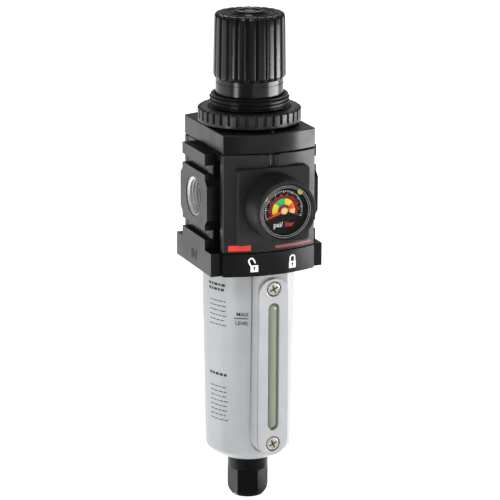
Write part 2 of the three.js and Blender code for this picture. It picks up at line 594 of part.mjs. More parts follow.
piece(regulator, "bonnet", bonnet(), blackPaint);
corners.forEach(([sx, sy], i) => {
  const screw = piece(regulator, `bonnet_screw_${i + 1}`, bonnetScrew(), steel);
  screw.position.set(sx * SCREW_PLACE, sy * SCREW_PLACE, 0);
});
piece(regulator, "panel_nut", panelNut(), blackPlastic);
piece(regulator, "adjusting_knob", knob(), blackPlastic);
piece(regulator, "knob_cap", knobCap(), blackPlastic);
piece(regulator, "adjusting_screw", adjustingScrew(), steel);
piece(regulator, "thrust_washer", ring(4.95, 8, 84.3, 85.7, FEW), acetal);
piece(regulator, "spring_seat", springSeat(), brass);
piece(regulator, "range_spring", spring(11, 1.35, 31.7, 71.7, 7), springSteel);

piece(regulator, "diaphragm", diaphragm(), rubber);
piece(regulator, "diaphragm_plate", diaphragmPlate(), aluminium);
piece(regulator, "relief_seat", reliefSeat(), brass);
piece(regulator, "valve_seat", valveSeat(), brass);
piece(regulator, "valve_poppet", valvePoppet(), brass);
piece(regulator, "valve_spring", spring(3.9, 0.45, -16.1, -8.7, 4), springSteel);
piece(regulator, "valve_guide", valveGuide(), acetal);

piece(regulator, "air_guide", airGuide(), acetal);
piece(regulator, "filter_element", filterElement(), sintered);
piece(regulator, "baffle", baffle(), acetal);
piece(regulator, "element_retainer", elementRetainer(), acetal);

const bowlGroup = new THREE.Group();
bowlGroup.rotation.z = degrees(BOWL_TURN);
regulator.add(bowlGroup);
piece(bowlGroup, "bowl", bowl(), silverPaint);
piece(bowlGroup, "bowl_seal", ring(20.6, 22.2, -30.8, -28.95, 28), rubber);
piece(bowlGroup, "sight_glass_gasket", sightGasket(), rubber);
piece(bowlGroup, "sight_glass", sightGlass(), clearGlass);
piece(bowlGroup, "sight_plate", sightPlate(), silverPaint);
["sight_plate_screw_upper", "sight_plate_screw_lower"].forEach((name, i) => {
  const screw = piece(bowlGroup, name, sightScrew(), steel);
  screw.rotation.x = Math.PI / 2;
  screw.position.z = SIGHT_SCREWS[i];
});
piece(bowlGroup, "drain_stem", drainStem(), brass);
piece(bowlGroup, "drain_seal", drainSeal(), rubber);
const drainGrip = piece(bowlGroup, "drain_knob", drainKnob(), blackPlastic);
drainGrip.rotation.z = degrees(3.3);

const gauge = new THREE.Group();
gauge.position.set(0, -PAD_FRONT, GAUGE_Z);
gauge.rotation.x = Math.PI / 2;
regulator.add(gauge);
piece(gauge, "gauge_case", gaugeCase(), blackPlastic);
piece(gauge, "gauge_bezel", gaugeBezel(), blackPlastic);
piece(gauge, "gauge_lens", gaugeLens(), clearGlass);
piece(gauge, "gauge_dial", gaugeDial(), dialBlack);
piece(gauge, "gauge_socket", gaugeSocket(), brass);
piece(gauge, "gauge_seal", ring(5.3, 6.8, -14, -12.3, FEW), rubber);
piece(gauge, "gauge_movement", gaugeMovement(), brass);
piece(gauge, "bourdon_tube", wire(new Bow(), 1.2, 16, 6), brass);
const needle = piece(gauge, "gauge_needle", gaugeNeedle(), needleRed);
needle.rotation.z = degrees(NEEDLE_REST);
const lowSet = piece(gauge, "low_set_pointer", setPointer(13.5), setYellow);
lowSet.rotation.z = degrees(-LOW_SET);
const highSet = piece(gauge, "high_set_pointer", setPointer(14.2), setYellow);
highSet.rotation.z = degrees(-HIGH_SET);

export default regulator;
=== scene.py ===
"""Looks of a half-inch modular air filter-regulator: painted casting, gauge, knob and filter bowl.

Lengths are in millimetres until a mesh is made, and in the CAD frame: X from port to port, -Y to the
front, +Z up. The visible shells are rebuilt here with rounded edges. Their overall sizes are read from
the frame and the others are named below. Pieces that are hidden inside keep the CAD's shape, except the
springs and the diaphragm.
"""
import json
import math
import random

import bmesh
import bpy
from mathutils import Matrix, Quaternion, Vector


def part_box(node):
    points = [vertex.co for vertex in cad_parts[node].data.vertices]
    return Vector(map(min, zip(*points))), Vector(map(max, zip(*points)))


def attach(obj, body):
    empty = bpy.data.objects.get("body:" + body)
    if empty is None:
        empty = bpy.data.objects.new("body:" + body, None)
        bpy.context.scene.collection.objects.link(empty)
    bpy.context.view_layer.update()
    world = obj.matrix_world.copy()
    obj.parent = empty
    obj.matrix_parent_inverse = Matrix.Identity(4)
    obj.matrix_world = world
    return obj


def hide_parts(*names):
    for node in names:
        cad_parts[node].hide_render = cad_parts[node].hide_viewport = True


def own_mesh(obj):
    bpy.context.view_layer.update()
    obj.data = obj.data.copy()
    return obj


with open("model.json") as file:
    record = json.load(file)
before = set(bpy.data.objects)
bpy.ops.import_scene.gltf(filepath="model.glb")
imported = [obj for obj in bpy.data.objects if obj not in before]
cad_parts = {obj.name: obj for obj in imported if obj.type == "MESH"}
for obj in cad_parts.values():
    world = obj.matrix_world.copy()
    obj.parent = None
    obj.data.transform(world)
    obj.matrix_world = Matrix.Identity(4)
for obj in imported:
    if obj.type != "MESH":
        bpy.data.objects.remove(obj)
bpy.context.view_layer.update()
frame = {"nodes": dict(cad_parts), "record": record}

MM = 0.001
TAU = 2 * math.pi
ROUND = 96  # facets on a large round
FINE = 48  # facets on a small round

# ---------------------------------------------------------------- camera
CAMERA_AZIMUTH = math.radians(-22.73)
CAMERA_ELEVATION = math.radians(15.65)
CAMERA_ROLL = math.radians(0.28)
CAMERA_DISTANCE = 1.4263
CAMERA_TARGET = Vector((0.0007, -0.0003, -0.0347))
CAMERA_LENS = 181.46


def add_camera():
    back = Vector((math.sin(CAMERA_AZIMUTH) * math.cos(CAMERA_ELEVATION),
                   -math.cos(CAMERA_AZIMUTH) * math.cos(CAMERA_ELEVATION),
                   math.sin(CAMERA_ELEVATION)))
    data = bpy.data.cameras.new("camera")
    data.sensor_width = 36
    data.lens = CAMERA_LENS
    camera = bpy.data.objects.new("camera", data)
    bpy.context.scene.collection.objects.link(camera)
    camera.rotation_mode = "QUATERNION"
    camera.rotation_quaternion = back.to_track_quat("Z", "Y") @ Quaternion((0, 0, 1), CAMERA_ROLL)
    camera.location = CAMERA_TARGET + back * CAMERA_DISTANCE
    bpy.context.scene.camera = camera
    bpy.context.scene.view_settings.view_transform = "Standard"


add_camera()


# ---------------------------------------------------------------- sizes, read from the frame
def span(node):
    """Lowest and highest corner of a CAD node, in millimetres."""
    low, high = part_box(node)
    return low / MM, high / MM


PORT_FACE = span("body")[1].x
BAND_LOW = span("body")[0].z
BODY_TOP = span("body")[1].z
COVER_LOW, COVER_HIGH = span("front_cover")[0].z, span("front_cover")[1].z
COVER_WIDE = span("front_cover")[1].x
PAD_FRONT = -span("front_cover")[0].y
FLANGE_LOW = span("bonnet")[0].z
TOWER_HIGH = span("bonnet")[1].z
NUT_LOW, NUT_HIGH = span("panel_nut")[0].z, span("panel_nut")[1].z
NUT_RADIUS = span("panel_nut")[1].x
KNOB_TOP = span("adjusting_knob")[1].z
SKIRT_LOW = span("adjusting_knob")[0].z
CAP_TOP = span("knob_cap")[1].z
BOWL_RIM = span("bowl")[1].z
NECK_LOW = span("bowl")[0].z
DRAIN_LOW, DRAIN_HIGH = span("drain_knob")[0].z, span("drain_knob")[1].z
GAUGE_Z = (span("gauge_case")[0].z + span("gauge_case")[1].z) / 2

# Sizes that the boxes don't give.
PLATE_DEPTH = 17.0
BOSS_DEPTH = 20.1
BOSS_SWELL = 12.8
GROOVE = (16.0, 21.0)  # inner and outer half height of the clamp grooves
GROOVE_FLOOR = 30.5
PLATE_TOP = 27.5
CORE = 24.0
LAP = 2  # how far joined slabs run into each other
COVER_DEEP = 29.0
BULGE = 5.5
BAND_HIGH = -27.0
WING_DEPTH = 26.2
FLANGE_HIGH = 40.2
COLLAR_RADIUS = 22.4
COLLAR_BORE = 19.4
COLLAR_HIGH = 56.6
TOWER_RADIUS = 16.5
PORT_RADIUS = 10.6
PAD_HALF = 21.4
PAD_CORNERS = (0.9, 1.8)  # left and right
BOWL_DEGREES = 4  # how far the bowl stands turned when it is locked
UNLOCK_DEGREES = 40
BOWL_TURN = math.radians(BOWL_DEGREES)
BOWL_TOP = -40.5
BOWL_LOW = -154.5
SIGHT_FRONT = 32.0
BOSS_FRONT = 30.2
SIGHT_HALF = 9.2
SIGHT_ENDS = (-147.4, -43.2)
SLOT_HALF = 3.4
SLOT_ENDS = (-132.5, -57.5)
SIGHT_SCREWS = (-49.3, -140.7)
NUT_SLOTS = 36
NUT_PHASE = math.radians(4.8)
KNOB_LOBES = 22
GRIP_LOW = 65.2
SKIRT_R = 18.95
KNOB_PHASE = math.radians(-10.7)
DRAIN_DEGREES = 3.3  # the drain knob's hexagon against the bowl


# ---------------------------------------------------------------- mesh tools
def link(obj):
    bpy.context.scene.collection.objects.link(obj)
    return obj


def to_object(name, bm):
    mesh = bpy.data.meshes.new(name)
    bm.to_mesh(mesh)
    bm.free()
    return link(bpy.data.objects.new(name, mesh))


def mesh_piece(name, bm):
    bmesh.ops.recalc_face_normals(bm, faces=bm.faces)
    return to_object(name, bm)


def turned(name, profile, sides=ROUND, warp=None):
    """A profile of (radius, height) points turned about Z; one off the axis closes into a ring."""
    bm = bmesh.new()
    closed = profile[0][0] > 0
    rows = []
    for radius, height in profile:
        if radius <= 0:
            rows.append([bm.verts.new((0, 0, height * MM))])
            continue
        row = []
        for i in range(sides):
            angle = TAU * i / sides
            r = radius if warp is None else warp(angle, radius, height)
            row.append(bm.verts.new((r * math.sin(angle) * MM, -r * math.cos(angle) * MM, height * MM)))
        rows.append(row)
    pairs = list(zip(rows, rows[1:]))
    if closed:
        pairs.append((rows[-1], rows[0]))
    for lower, upper in pairs:
        for i in range(sides):
            j = (i + 1) % sides
            corners = [lower[i % len(lower)], lower[j % len(lower)],
                       upper[j % len(upper)], upper[i % len(upper)]]
            unique = list(dict.fromkeys(corners))
            if len(unique) > 2:
                bm.faces.new(unique)
    return mesh_piece(name, bm)


def prism(name, loop, low, high):
    """A flat outline of (x, y) points raised from low to high."""
    bm = bmesh.new()
    bottom = [bm.verts.new((x * MM, y * MM, low * MM)) for x, y in loop]
    top = [bm.verts.new((x * MM, y * MM, high * MM)) for x, y in loop]
    bm.faces.new(bottom)
    bm.faces.new(top)
    for i in range(len(loop)):
        j = (i + 1) % len(loop)
        bm.faces.new((bottom[i], bottom[j], top[j], top[i]))
    return mesh_piece(name, bm)


def block(name, low, high):
    (x0, y0, z0), (x1, y1, z1) = low, high
    return prism(name, [(x0, y0), (x1, y0), (x1, y1), (x0, y1)], z0, z1)


def move(obj, matrix):
    obj.data.transform(matrix)
    return obj


def shift(obj, x=0, y=0, z=0):
    return move(obj, Matrix.Translation(Vector((x, y, z)) * MM))


def spin(obj, angle, axis="Z"):
    return move(obj, Matrix.Rotation(angle, 4, axis))


def to_front(obj):
    """Lays a piece made face up so that its face looks along -Y."""
    return spin(obj, math.pi / 2, "X")


def to_side(obj, side=1):
    """Lays a piece made face up so that its face looks along +X or -X."""
    return spin(obj, side * math.pi / 2, "Y")


def bake(obj):
    bpy.context.view_layer.update()
    evaluated = obj.evaluated_get(bpy.context.evaluated_depsgraph_get())
    mesh = bpy.data.meshes.new_from_object(evaluated)
    obj.modifiers.clear()
    obj.data = mesh
    return obj


def combine(obj, others, operation):
    for other in others:
        step = obj.modifiers.new("combine", "BOOLEAN")
        step.operation = operation
        step.solver = "EXACT"
        step.object = other
    bake(obj)
    for other in others:
        bpy.data.objects.remove(other)
    return obj


def join(obj, *others):
    return combine(obj, others, "UNION")


def cut(obj, *others):
    return combine(obj, others, "DIFFERENCE")


def soften(obj, width, segments=3, angle=30):
    step = obj.modifiers.new("soften", "BEVEL")
    step.width = width * MM
    step.segments = segments
    step.limit_method = "ANGLE"
    step.angle_limit = math.radians(angle)
    step.use_clamp_overlap = True
    step.harden_normals = False
    return bake(obj)


def merge(name, pieces):
    """One mesh object out of several, left as separate closed shells."""
    bm = bmesh.new()
    for one in pieces:
        bm.from_mesh(one.data)
        bpy.data.objects.remove(one)
    return to_object(name, bm)


def shade(obj, angle=32):
    mesh = obj.data
    mesh.polygons.foreach_set("use_smooth", [True] * len(mesh.polygons))
    mesh.set_sharp_from_angle(angle=math.radians(angle))
    step = obj.modifiers.new("weigh", "WEIGHTED_NORMAL")
    step.keep_sharp = True
    step.weight = 80
    return bake(obj)


def dress(obj, name, material, body, slot, *nodes, angle=32):
    """Names, shades, paints and hangs a finished piece on its body."""
    obj.name = name
    obj.data.name = name
    shade(obj, angle)
    obj.data.materials.clear()
    obj.data.materials.append(material)
    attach(obj, body)
    if nodes:
        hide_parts(*nodes)
    return obj


def arc(radius, start, stop, steps, centre=(0, 0)):
    """Points of an arc; angles in degrees, anticlockwise from +X."""
    points = []
    for i in range(steps + 1):
        angle = math.radians(start + (stop - start) * i / steps)
        points.append((centre[0] + radius * math.cos(angle), centre[1] + radius * math.sin(angle)))
    return points


SWELL_RADIUS = (COVER_WIDE ** 2 + BULGE ** 2) / (2 * BULGE)
SWELL_CENTRE = COVER_DEEP + BULGE - SWELL_RADIUS


def swell_front(inset=0.0, steps=28):
    half = math.degrees(math.asin((COVER_WIDE - inset) / (SWELL_RADIUS - inset)))
    return arc(SWELL_RADIUS - inset, -90 - half, -90 + half, steps, (0, -SWELL_CENTRE))


def swollen_outline():
    front = swell_front()
    return front + [(-x, -y) for x, y in front]


def stadium(half, low, high, steps=16):
    """A long outline with round ends, standing up between two heights."""
    return arc(half, 0, 180, steps, (0, high - half)) + arc(half, 180, 360, steps, (0, low + half))


# ---------------------------------------------------------------- materials
class Nodes:
    """A principled material with helpers for adding nodes."""

    def __init__(self, name, color, roughness, metallic=0.0, **sockets):
        self.material = bpy.data.materials.new(name)
        self.material.use_nodes = True
        self.tree = self.material.node_tree
        self.shader = self.tree.nodes["Principled BSDF"]
        self.shader.inputs["Base Color"].default_value = (*color, 1)
        self.shader.inputs["Roughness"].default_value = roughness
        self.shader.inputs["Metallic"].default_value = metallic
        for key, value in sockets.items():
            self.shader.inputs[key.replace("_", " ")].default_value = value

    def node(self, kind, **values):
        made = self.tree.nodes.new(kind)
        for key, value in values.items():
            if key in made.inputs:
                made.inputs[key].default_value = value
            else:
                setattr(made, key, value)
        return made

    def link(self, out, into):
        self.tree.links.new(out, into)

    def place(self, scale=(1, 1, 1)):
        """Object-space position, so that a pattern keeps its real size."""
        coordinates = self.node("ShaderNodeTexCoord")
        mapping = self.node("ShaderNodeMapping")
        mapping.inputs["Scale"].default_value = scale
        self.link(coordinates.outputs["Object"], mapping.inputs["Vector"])
        return mapping.outputs["Vector"]

    def noise(self, size_mm, detail=3.0, scale=(1, 1, 1)):
        texture = self.node("ShaderNodeTexNoise", Scale=1000 / size_mm, Detail=detail, Roughness=0.55)
        self.link(self.place(scale), texture.inputs["Vector"])
        return texture.outputs["Fac"]

    def ramp(self, value, low, high, start=0.35, stop=0.65):
        limits = {"From Min": start, "From Max": stop, "To Min": low, "To Max": high}
        made = self.node("ShaderNodeMapRange", **limits)
        self.link(value, made.inputs["Value"])
        return made.outputs["Result"]

    def tint(self, value, dark, light):
        mix = self.node("ShaderNodeMix", data_type="RGBA")
        mix.inputs["A"].default_value = (*dark, 1)
        mix.inputs["B"].default_value = (*light, 1)
        self.link(value, mix.inputs["Factor"])
        self.link(mix.outputs["Result"], self.shader.inputs["Base Color"])

    def bump(self, value, depth_mm, strength=1.0):
        made = self.node("ShaderNodeBump", Strength=strength, Distance=depth_mm * MM)
        self.link(value, made.inputs["Height"])
        self.link(made.outputs["Normal"], self.shader.inputs["Normal"])


def moulded(name, color, roughness, grain=0.35, depth=0.006, spread=0.06, metallic=0.0, **sockets):
    """Moulded or painted surface: fine grain in the relief, slow drift in the gloss and colour."""
    made = Nodes(name, color, roughness, metallic, **sockets)
    fine = made.noise(grain, 2)
    slow = made.noise(18, 2)
    made.link(made.ramp(slow, roughness - spread, roughness + spread), made.shader.inputs["Roughness"])
    dark = tuple(c * 0.94 for c in color)
    light = tuple(min(1, c * 1.05) for c in color)
    made.tint(made.ramp(slow, 0, 1, 0.3, 0.7), dark, light)
    made.bump(fine, depth)
    return made.material


def machined(name, color, roughness, lines=(1, 1, 60), metallic=1.0):
    """Turned or milled metal: fine tool lines across one axis."""
    made = Nodes(name, color, roughness, metallic)
    lay = made.noise(6, 4, lines)
    made.link(made.ramp(lay, roughness * 0.7, roughness * 1.4), made.shader.inputs["Roughness"])
    made.tint(made.ramp(lay, 0, 1), tuple(c * 0.82 for c in color), color)
    made.bump(lay, 0.01)
    return made.material


def clear(name, color, roughness, **sockets):
    """Glass: a faint smear in its gloss."""
    made = Nodes(name, color, roughness, 0.0, **sockets)
    smear = made.noise(9, 2)
    made.link(made.ramp(smear, roughness, roughness + 0.05), made.shader.inputs["Roughness"])
    return made.material


DULL = 0.36  # specular level of black paint and plastic
BLACK_PAINT = moulded("black_paint", (0.0045, 0.0045, 0.0047), 0.28, grain=0.5, depth=0.002,
                      Specular_IOR_Level=DULL)
BLACK_PLASTIC = moulded("black_plastic", (0.019, 0.019, 0.0195), 0.36, grain=0.45, depth=0.004,
                        Specular_IOR_Level=DULL)
# The nut's black plastic, lighter than the knob's: the extra lightness is painted light for the nut's
# brighter top face.
LIT_NUT_PLASTIC = moulded("nut_plastic_painted_light", (0.027, 0.027, 0.0275), 0.34, grain=0.4, depth=0.003,
                      Specular_IOR_Level=0.4)
KNOB_PLASTIC = moulded("knob_plastic", (0.006, 0.006, 0.0063), 0.2, grain=0.8, depth=0.001, spread=0.03,
                       Specular_IOR_Level=0.42)
DRAIN_PLASTIC = moulded("drain_plastic", (0.002, 0.002, 0.0022), 0.34, grain=0.4, depth=0.005,
                        Specular_IOR_Level=DULL)
GAUGE_PLASTIC = moulded("gauge_plastic", (0.013, 0.013, 0.0135), 0.42, grain=0.3, depth=0.006,
                        Specular_IOR_Level=DULL)
SILVER_PAINT = moulded("silver_paint", (0.46, 0.475, 0.485), 0.36, grain=0.25, depth=0.003,
                       spread=0.04, metallic=0.2)
PLATE_PAINT = moulded("plate_paint", (0.5, 0.51, 0.525), 0.32, grain=0.25, depth=0.003,
                      spread=0.04, metallic=0.2)
BRIGHT_METAL = machined("machined_metal", (0.72, 0.73, 0.74), 0.24, (60, 1, 1), metallic=0.5)
SCREW_METAL = machined("screw_metal", (0.62, 0.59, 0.52), 0.26, (1, 1, 1), metallic=0.35)
# Dark brown metal for the floor of the screws' cross recess: painted shade in the recess.
PAINTED_RECESS_SHADE = machined("painted_recess_shade", (0.13, 0.1, 0.06), 0.4, (1, 1, 1), metallic=0.5)
STEEL = machined("steel", (0.62, 0.61, 0.6), 0.28)
BRASS = machined("brass", (0.72, 0.55, 0.27), 0.26)
ALUMINIUM = machined("aluminium", (0.72, 0.73, 0.75), 0.3)
RIM_METAL = machined("rim_metal", (0.5, 0.51, 0.5), 0.3, metallic=0.5)
RUBBER = moulded("rubber", (0.012, 0.012, 0.012), 0.7, grain=0.2, depth=0.01)
ACETAL = moulded("acetal", (0.78, 0.77, 0.73), 0.5, grain=0.4, depth=0.006)
SINTERED = moulded("sintered", (0.82, 0.81, 0.77), 0.85, grain=0.12, depth=0.03)
LENS = clear("gauge_lens", (0.02, 0.02, 0.02), 0.02, Alpha=0.05, Specular_IOR_Level=0.8)
SIGHT_GLASS = clear("sight_glass", (0.33, 0.36, 0.28), 0.08, Transmission_Weight=0.25, Coat_Weight=0.8)
DIAL_BLACK = moulded("dial_black", (0.004, 0.004, 0.0045), 0.6, grain=0.3, depth=0.002,
                     Specular_IOR_Level=0.2)
NEEDLE_RED = moulded("needle_red", (0.8, 0.03, 0.015), 0.4, grain=0.3, depth=0.002)
SET_YELLOW = moulded("set_yellow", (0.82, 0.58, 0.08), 0.42, grain=0.3, depth=0.002)
SLOT_SKINS = {"black_paint": BLACK_PAINT, "black_plastic": BLACK_PLASTIC, "silver_paint": SILVER_PAINT,
              "steel": STEEL, "aluminium": ALUMINIUM, "brass": BRASS, "rubber": RUBBER,
              "white_plastic": ACETAL, "filter_media": SINTERED, "sight_glass": SIGHT_GLASS,
              "clear_lens": LENS, "dial": DIAL_BLACK, "needle_red": NEEDLE_RED, "set_yellow": SET_YELLOW}


def ink(name, color):
    return moulded("ink_" + name, color, 0.45, grain=0.2, depth=0.002, spread=0.03)


INK = {"white": ink("white", (0.9, 0.9, 0.9)), "red": ink("red", (0.8, 0.03, 0.015)),
       "green": ink("green", (0.02, 0.5, 0.12)), "yellow": ink("yellow", (0.95, 0.66, 0.01)),
       "orange": ink("orange", (0.9, 0.13, 0.015)), "cream": ink("cream", (0.88, 0.62, 0.22)),
       "maroon": ink("maroon", (0.3, 0.03, 0.05)), "grey": ink("grey", (0.012, 0.013, 0.015)),
       "dusk": ink("dusk", (0.3, 0.06, 0.05)), "black": ink("black", (0.004, 0.004, 0.004))}


def paint_frame():
    """Every CAD node gets the skin of its slot, seen or not."""
    for part in frame["record"]["subparts"]:
        obj = frame["nodes"][part["node"]]
        skin = SLOT_SKINS[part["material_slot"]]
        obj.data.materials.clear()
        obj.data.materials.append(skin)


# ---------------------------------------------------------------- body
def port_plates():
    """Both port faces, their clamp grooves and the step below the bonnet, as one block of slabs."""
    full = BOSS_SWELL - (BOSS_DEPTH - PLATE_DEPTH)
    side = [(-GROOVE[0], PLATE_DEPTH), (-BOSS_SWELL, PLATE_DEPTH), (-full, BOSS_DEPTH),
            (full, BOSS_DEPTH), (BOSS_SWELL, PLATE_DEPTH), (GROOVE[0], PLATE_DEPTH)]
    boss = side + [(-z, -y) for z, y in side]
    step_x, step_y = COVER_WIDE - 0.15, CORE - 0.5
    slabs = [
        to_side(prism("boss", boss, -PORT_FACE, PORT_FACE)),
        block("top", (-PORT_FACE, -PLATE_DEPTH, GROOVE[1]), (PORT_FACE, PLATE_DEPTH, PLATE_TOP)),
        block("low", (-PORT_FACE, -PLATE_DEPTH, BAND_HIGH - LAP), (PORT_FACE, PLATE_DEPTH, -GROOVE[1])),
        block("step", (-step_x, -step_y, PLATE_TOP - 3), (step_x, step_y, BODY_TOP)),
        block("core", (-CORE, -CORE, BAND_HIGH - LAP), (CORE, CORE, BODY_TOP)),
        block("wings", (-PORT_FACE, -WING_DEPTH, BAND_LOW), (PORT_FACE, WING_DEPTH, BAND_HIGH)),
        prism("band", swollen_outline(), BAND_LOW, BAND_HIGH),
    ]
    rib_place, rib_half, rib_proud = 28.4, 0.4, 1.2
    for side in (-1, 1):
        for front in (-1, 1):
            x, y = side * rib_place, front * PLATE_DEPTH
            near, far = sorted((y - front, y + front * rib_proud))
            slabs.append(block("rib", (x - rib_half, near, BAND_HIGH - LAP / 2),
                               (x + rib_half, far, PLATE_TOP)))
    bevel = 1.7
    corner = [(GROOVE_FLOOR - bevel, -PLATE_DEPTH), (GROOVE_FLOOR, bevel - PLATE_DEPTH),
              (GROOVE_FLOOR, PLATE_DEPTH - bevel), (GROOVE_FLOOR - bevel, PLATE_DEPTH)]
    inner = prism("plates", corner + [(-x, -y) for x, y in corner], BAND_HIGH - LAP, PLATE_TOP)
    return join(inner, *slabs)


def port_bore(side):
    """The hole for one port, blind at the middle web."""
    mouth, wall, narrow = PORT_RADIUS + 0.75, PORT_RADIUS + 0.45, 8.9
    thread_end, web = -15, 12.5 - PORT_FACE
    profile = [(0, 1), (mouth, 1), (mouth, 0), (wall, -0.4), (wall, thread_end), (narrow, thread_end - 0.5),
               (narrow, web), (0, web)]
    return shift(to_side(turned("bore", profile, 72), side), side * PORT_FACE)


def lower_room():
    """The room for the bowl's rim, and the three ways that let its lugs in when it is unlocked."""
    ceiling, shelf, wide, narrow = -28.6, -37.3, 24.4, 22.9
    room = turned("room", [(0, ceiling), (wide, ceiling), (wide, shelf), (narrow, shelf),
                           (narrow, BAND_LOW - 1), (0, BAND_LOW - 1)])
    ways = []
    half = 17  # degrees
    for i in range(3):
        middle = i * 120 + BOWL_DEGREES - UNLOCK_DEGREES
        loop = arc(wide, middle - half, middle + half, 10)
        loop += arc(narrow - 1, middle + half, middle - half, 10)
        ways.append(prism("lug_way", loop, BAND_LOW - 1, -36.3))
    return [room] + ways


def gauge_bore(side):
    """The hole for the gauge's stem in front (side -1), or for the plug behind (side 1)."""
    profile = [(0, 12), (5.4, 12), (5.4, 21.6), (7.1, 21.6), (7.1, 25), (0, 25)]
    bore = to_front(turned("bore", profile, FINE))
    return bore if side < 0 else spin(bore, math.pi)


def build_body():
    body = soften(port_plates(), 0.45, 2)
    tools = [port_bore(-1), port_bore(1), *lower_room()]
    tools += [shift(gauge_bore(side), z=GAUGE_Z) for side in (-1, 1)]
    tools.append(shift(turned("drop", [(0, -29), (5.5, -29), (5.5, 0), (0, 0)], FINE), x=-17))
    tools.append(turned("valve_bore", [(0, -29), (9, -29), (9, -4.5), (7.5, -4.5), (7.5, 1), (8, 1),
                                       (8, 12), (2, 12), (2, 20), (21, 20), (21, 27), (24.8, 27),
                                       (24.8, BODY_TOP + 1), (0, BODY_TOP + 1)], 72))
    tools.append(shift(to_side(turned("cross", [(0, 0), (3.6, 0), (3.6, 20), (0, 20)], 24)), z=6))
    cut(body, *tools)
    dress(body, "body_casting", BLACK_PAINT, "housing", "black_paint", "body")


def build_port_thread(name, side):
    """The bright machined thread inside a painted port."""
    pitch, taper, deep = 1.814, 1 / 32, 1.15
    profile = [(PORT_RADIUS + 0.35, -14.6), (PORT_RADIUS + 0.35, -0.5), (PORT_RADIUS, -0.55)]
    for i in range(7):
        root = PORT_RADIUS - i * pitch * taper
        crest = root - deep
        top = -0.8 - i * pitch
        profile += [(root, top), (crest, top - 0.44 * pitch), (crest, top - 0.56 * pitch),
                    (root, top - pitch)]
    profile += [(9.1, -14.6)]
    thread = shift(to_side(turned(name, profile, ROUND), side), side * PORT_FACE)
    dress(thread, name, BRIGHT_METAL, "housing", "steel", angle=40)


# ---------------------------------------------------------------- covers
def cover_shell():
    """The front cover with its pad; the rear one is the same, turned round."""
    back, wall = -CORE - 0.3, 2.4
    swell = COVER_DEEP + BULGE
    outer = [(-COVER_WIDE, back), *swell_front(), (COVER_WIDE, back)]
    shell = soften(prism("cover", outer, COVER_LOW, COVER_HIGH), 0.7, 3)
    left, right = (PAD_HALF - width for width in PAD_CORNERS)
    pad = [(-left, -PAD_HALF), (right, -PAD_HALF), (PAD_HALF, -right), (PAD_HALF, right),
           (right, PAD_HALF), (-left, PAD_HALF), (-PAD_HALF, left), (-PAD_HALF, -left)]
    raised = soften(to_front(prism("pad", pad, COVER_DEEP, PAD_FRONT)), 0.4, 3)
    join(shell, raised)
    inner = [(-COVER_WIDE + wall, -CORE + 1), *swell_front(wall), (COVER_WIDE - wall, -CORE + 1)]
    hollow = prism("hollow", inner, COVER_LOW + wall, COVER_HIGH - wall)
    radius, above = 2.85, COVER_HIGH + 1
    notch = turned("notch", [(0, PAD_HALF), (radius, PAD_HALF), (radius, above), (0, above)], FINE)
    shift(notch, y=-swell - 0.9)
    hole = shift(to_front(turned("hole", [(0, CORE - 2), (6.2, CORE - 2), (6.2, PAD_FRONT - 0.4),
                                          (6.6, PAD_FRONT + 0.5), (0, PAD_FRONT + 0.5)], FINE)), z=GAUGE_Z)
    slit = block("slit", (-4.2, -60, COVER_HIGH - 0.9), (4.2, 2.5 - COVER_DEEP - BULGE, above))
    return cut(shell, hollow, notch, slit, hole)


def build_covers():
    front = cover_shell()
    dress(front, "front_cover_shell", BLACK_PLASTIC, "housing", "black_plastic", "front_cover")
    rear = spin(cover_shell(), math.pi)
    dress(rear, "rear_cover_shell", BLACK_PLASTIC, "housing", "black_plastic", "rear_cover")


# ---------------------------------------------------------------- bonnet, nut, knob
def build_bonnet():
    flange = soften(prism("flange", swollen_outline(), FLANGE_LOW, FLANGE_HIGH), 0.5, 3)
    pitch, deep = 2.1, 1.15
    root, edge = COLLAR_RADIUS - deep, COLLAR_RADIUS - 0.05
    foot, gap_floor = FLANGE_HIGH - LAP, 46
    thread = [(root, foot)]
    for i in range(7, 0, -1):
        crest = COLLAR_HIGH + 0.1 - i * pitch
        thread += [(root, crest - 0.42 * pitch), (edge, crest - 0.1), (edge, crest + 0.1),
                   (root, crest + 0.42 * pitch)]
    collar = turned("collar", [(0, foot), *thread, (root + 0.35, COLLAR_HIGH - 0.75),
                               (root + 0.3, COLLAR_HIGH - 0.3), (root - 0.1, COLLAR_HIGH),
                               (COLLAR_BORE + 0.4, COLLAR_HIGH), (COLLAR_BORE, COLLAR_HIGH - 0.4),
                               (COLLAR_BORE, gap_floor), (TOWER_RADIUS, gap_floor),
                               (TOWER_RADIUS, TOWER_HIGH - 0.6), (TOWER_RADIUS - 0.6, TOWER_HIGH),
                               (0, TOWER_HIGH)])
    pointer = soften(prism("pointer", [(-1.1, -30.6), (-0.9, -33.2), (0.9, -33.2), (1.1, -30.6)],
                           FLANGE_HIGH - 0.6, FLANGE_HIGH + 1.3), 0.25, 2)
    join(flange, collar, pointer)
    room = turned("room", [(0, FLANGE_LOW - 1), (21, FLANGE_LOW - 1), (21, 36), (13.6, 36), (13.6, 86),
                           (4.95, 86), (4.95, TOWER_HIGH + 1), (0, TOWER_HIGH + 1)], 72)
    vent = to_front(turned("vent", [(0, 19), (1.2, 19), (1.2, 40), (0, 40)], 24))
    shift(spin(vent, math.pi), z=33)
    keys = [block("key", (-1.6, min(0, s * 14.9), 40), (1.6, max(0, s * 14.9), 84)) for s in (-1, 1)]
    cut(flange, room, vent, *keys)
    dress(flange, "bonnet_casting", BLACK_PAINT, "housing", "black_paint", "bonnet")


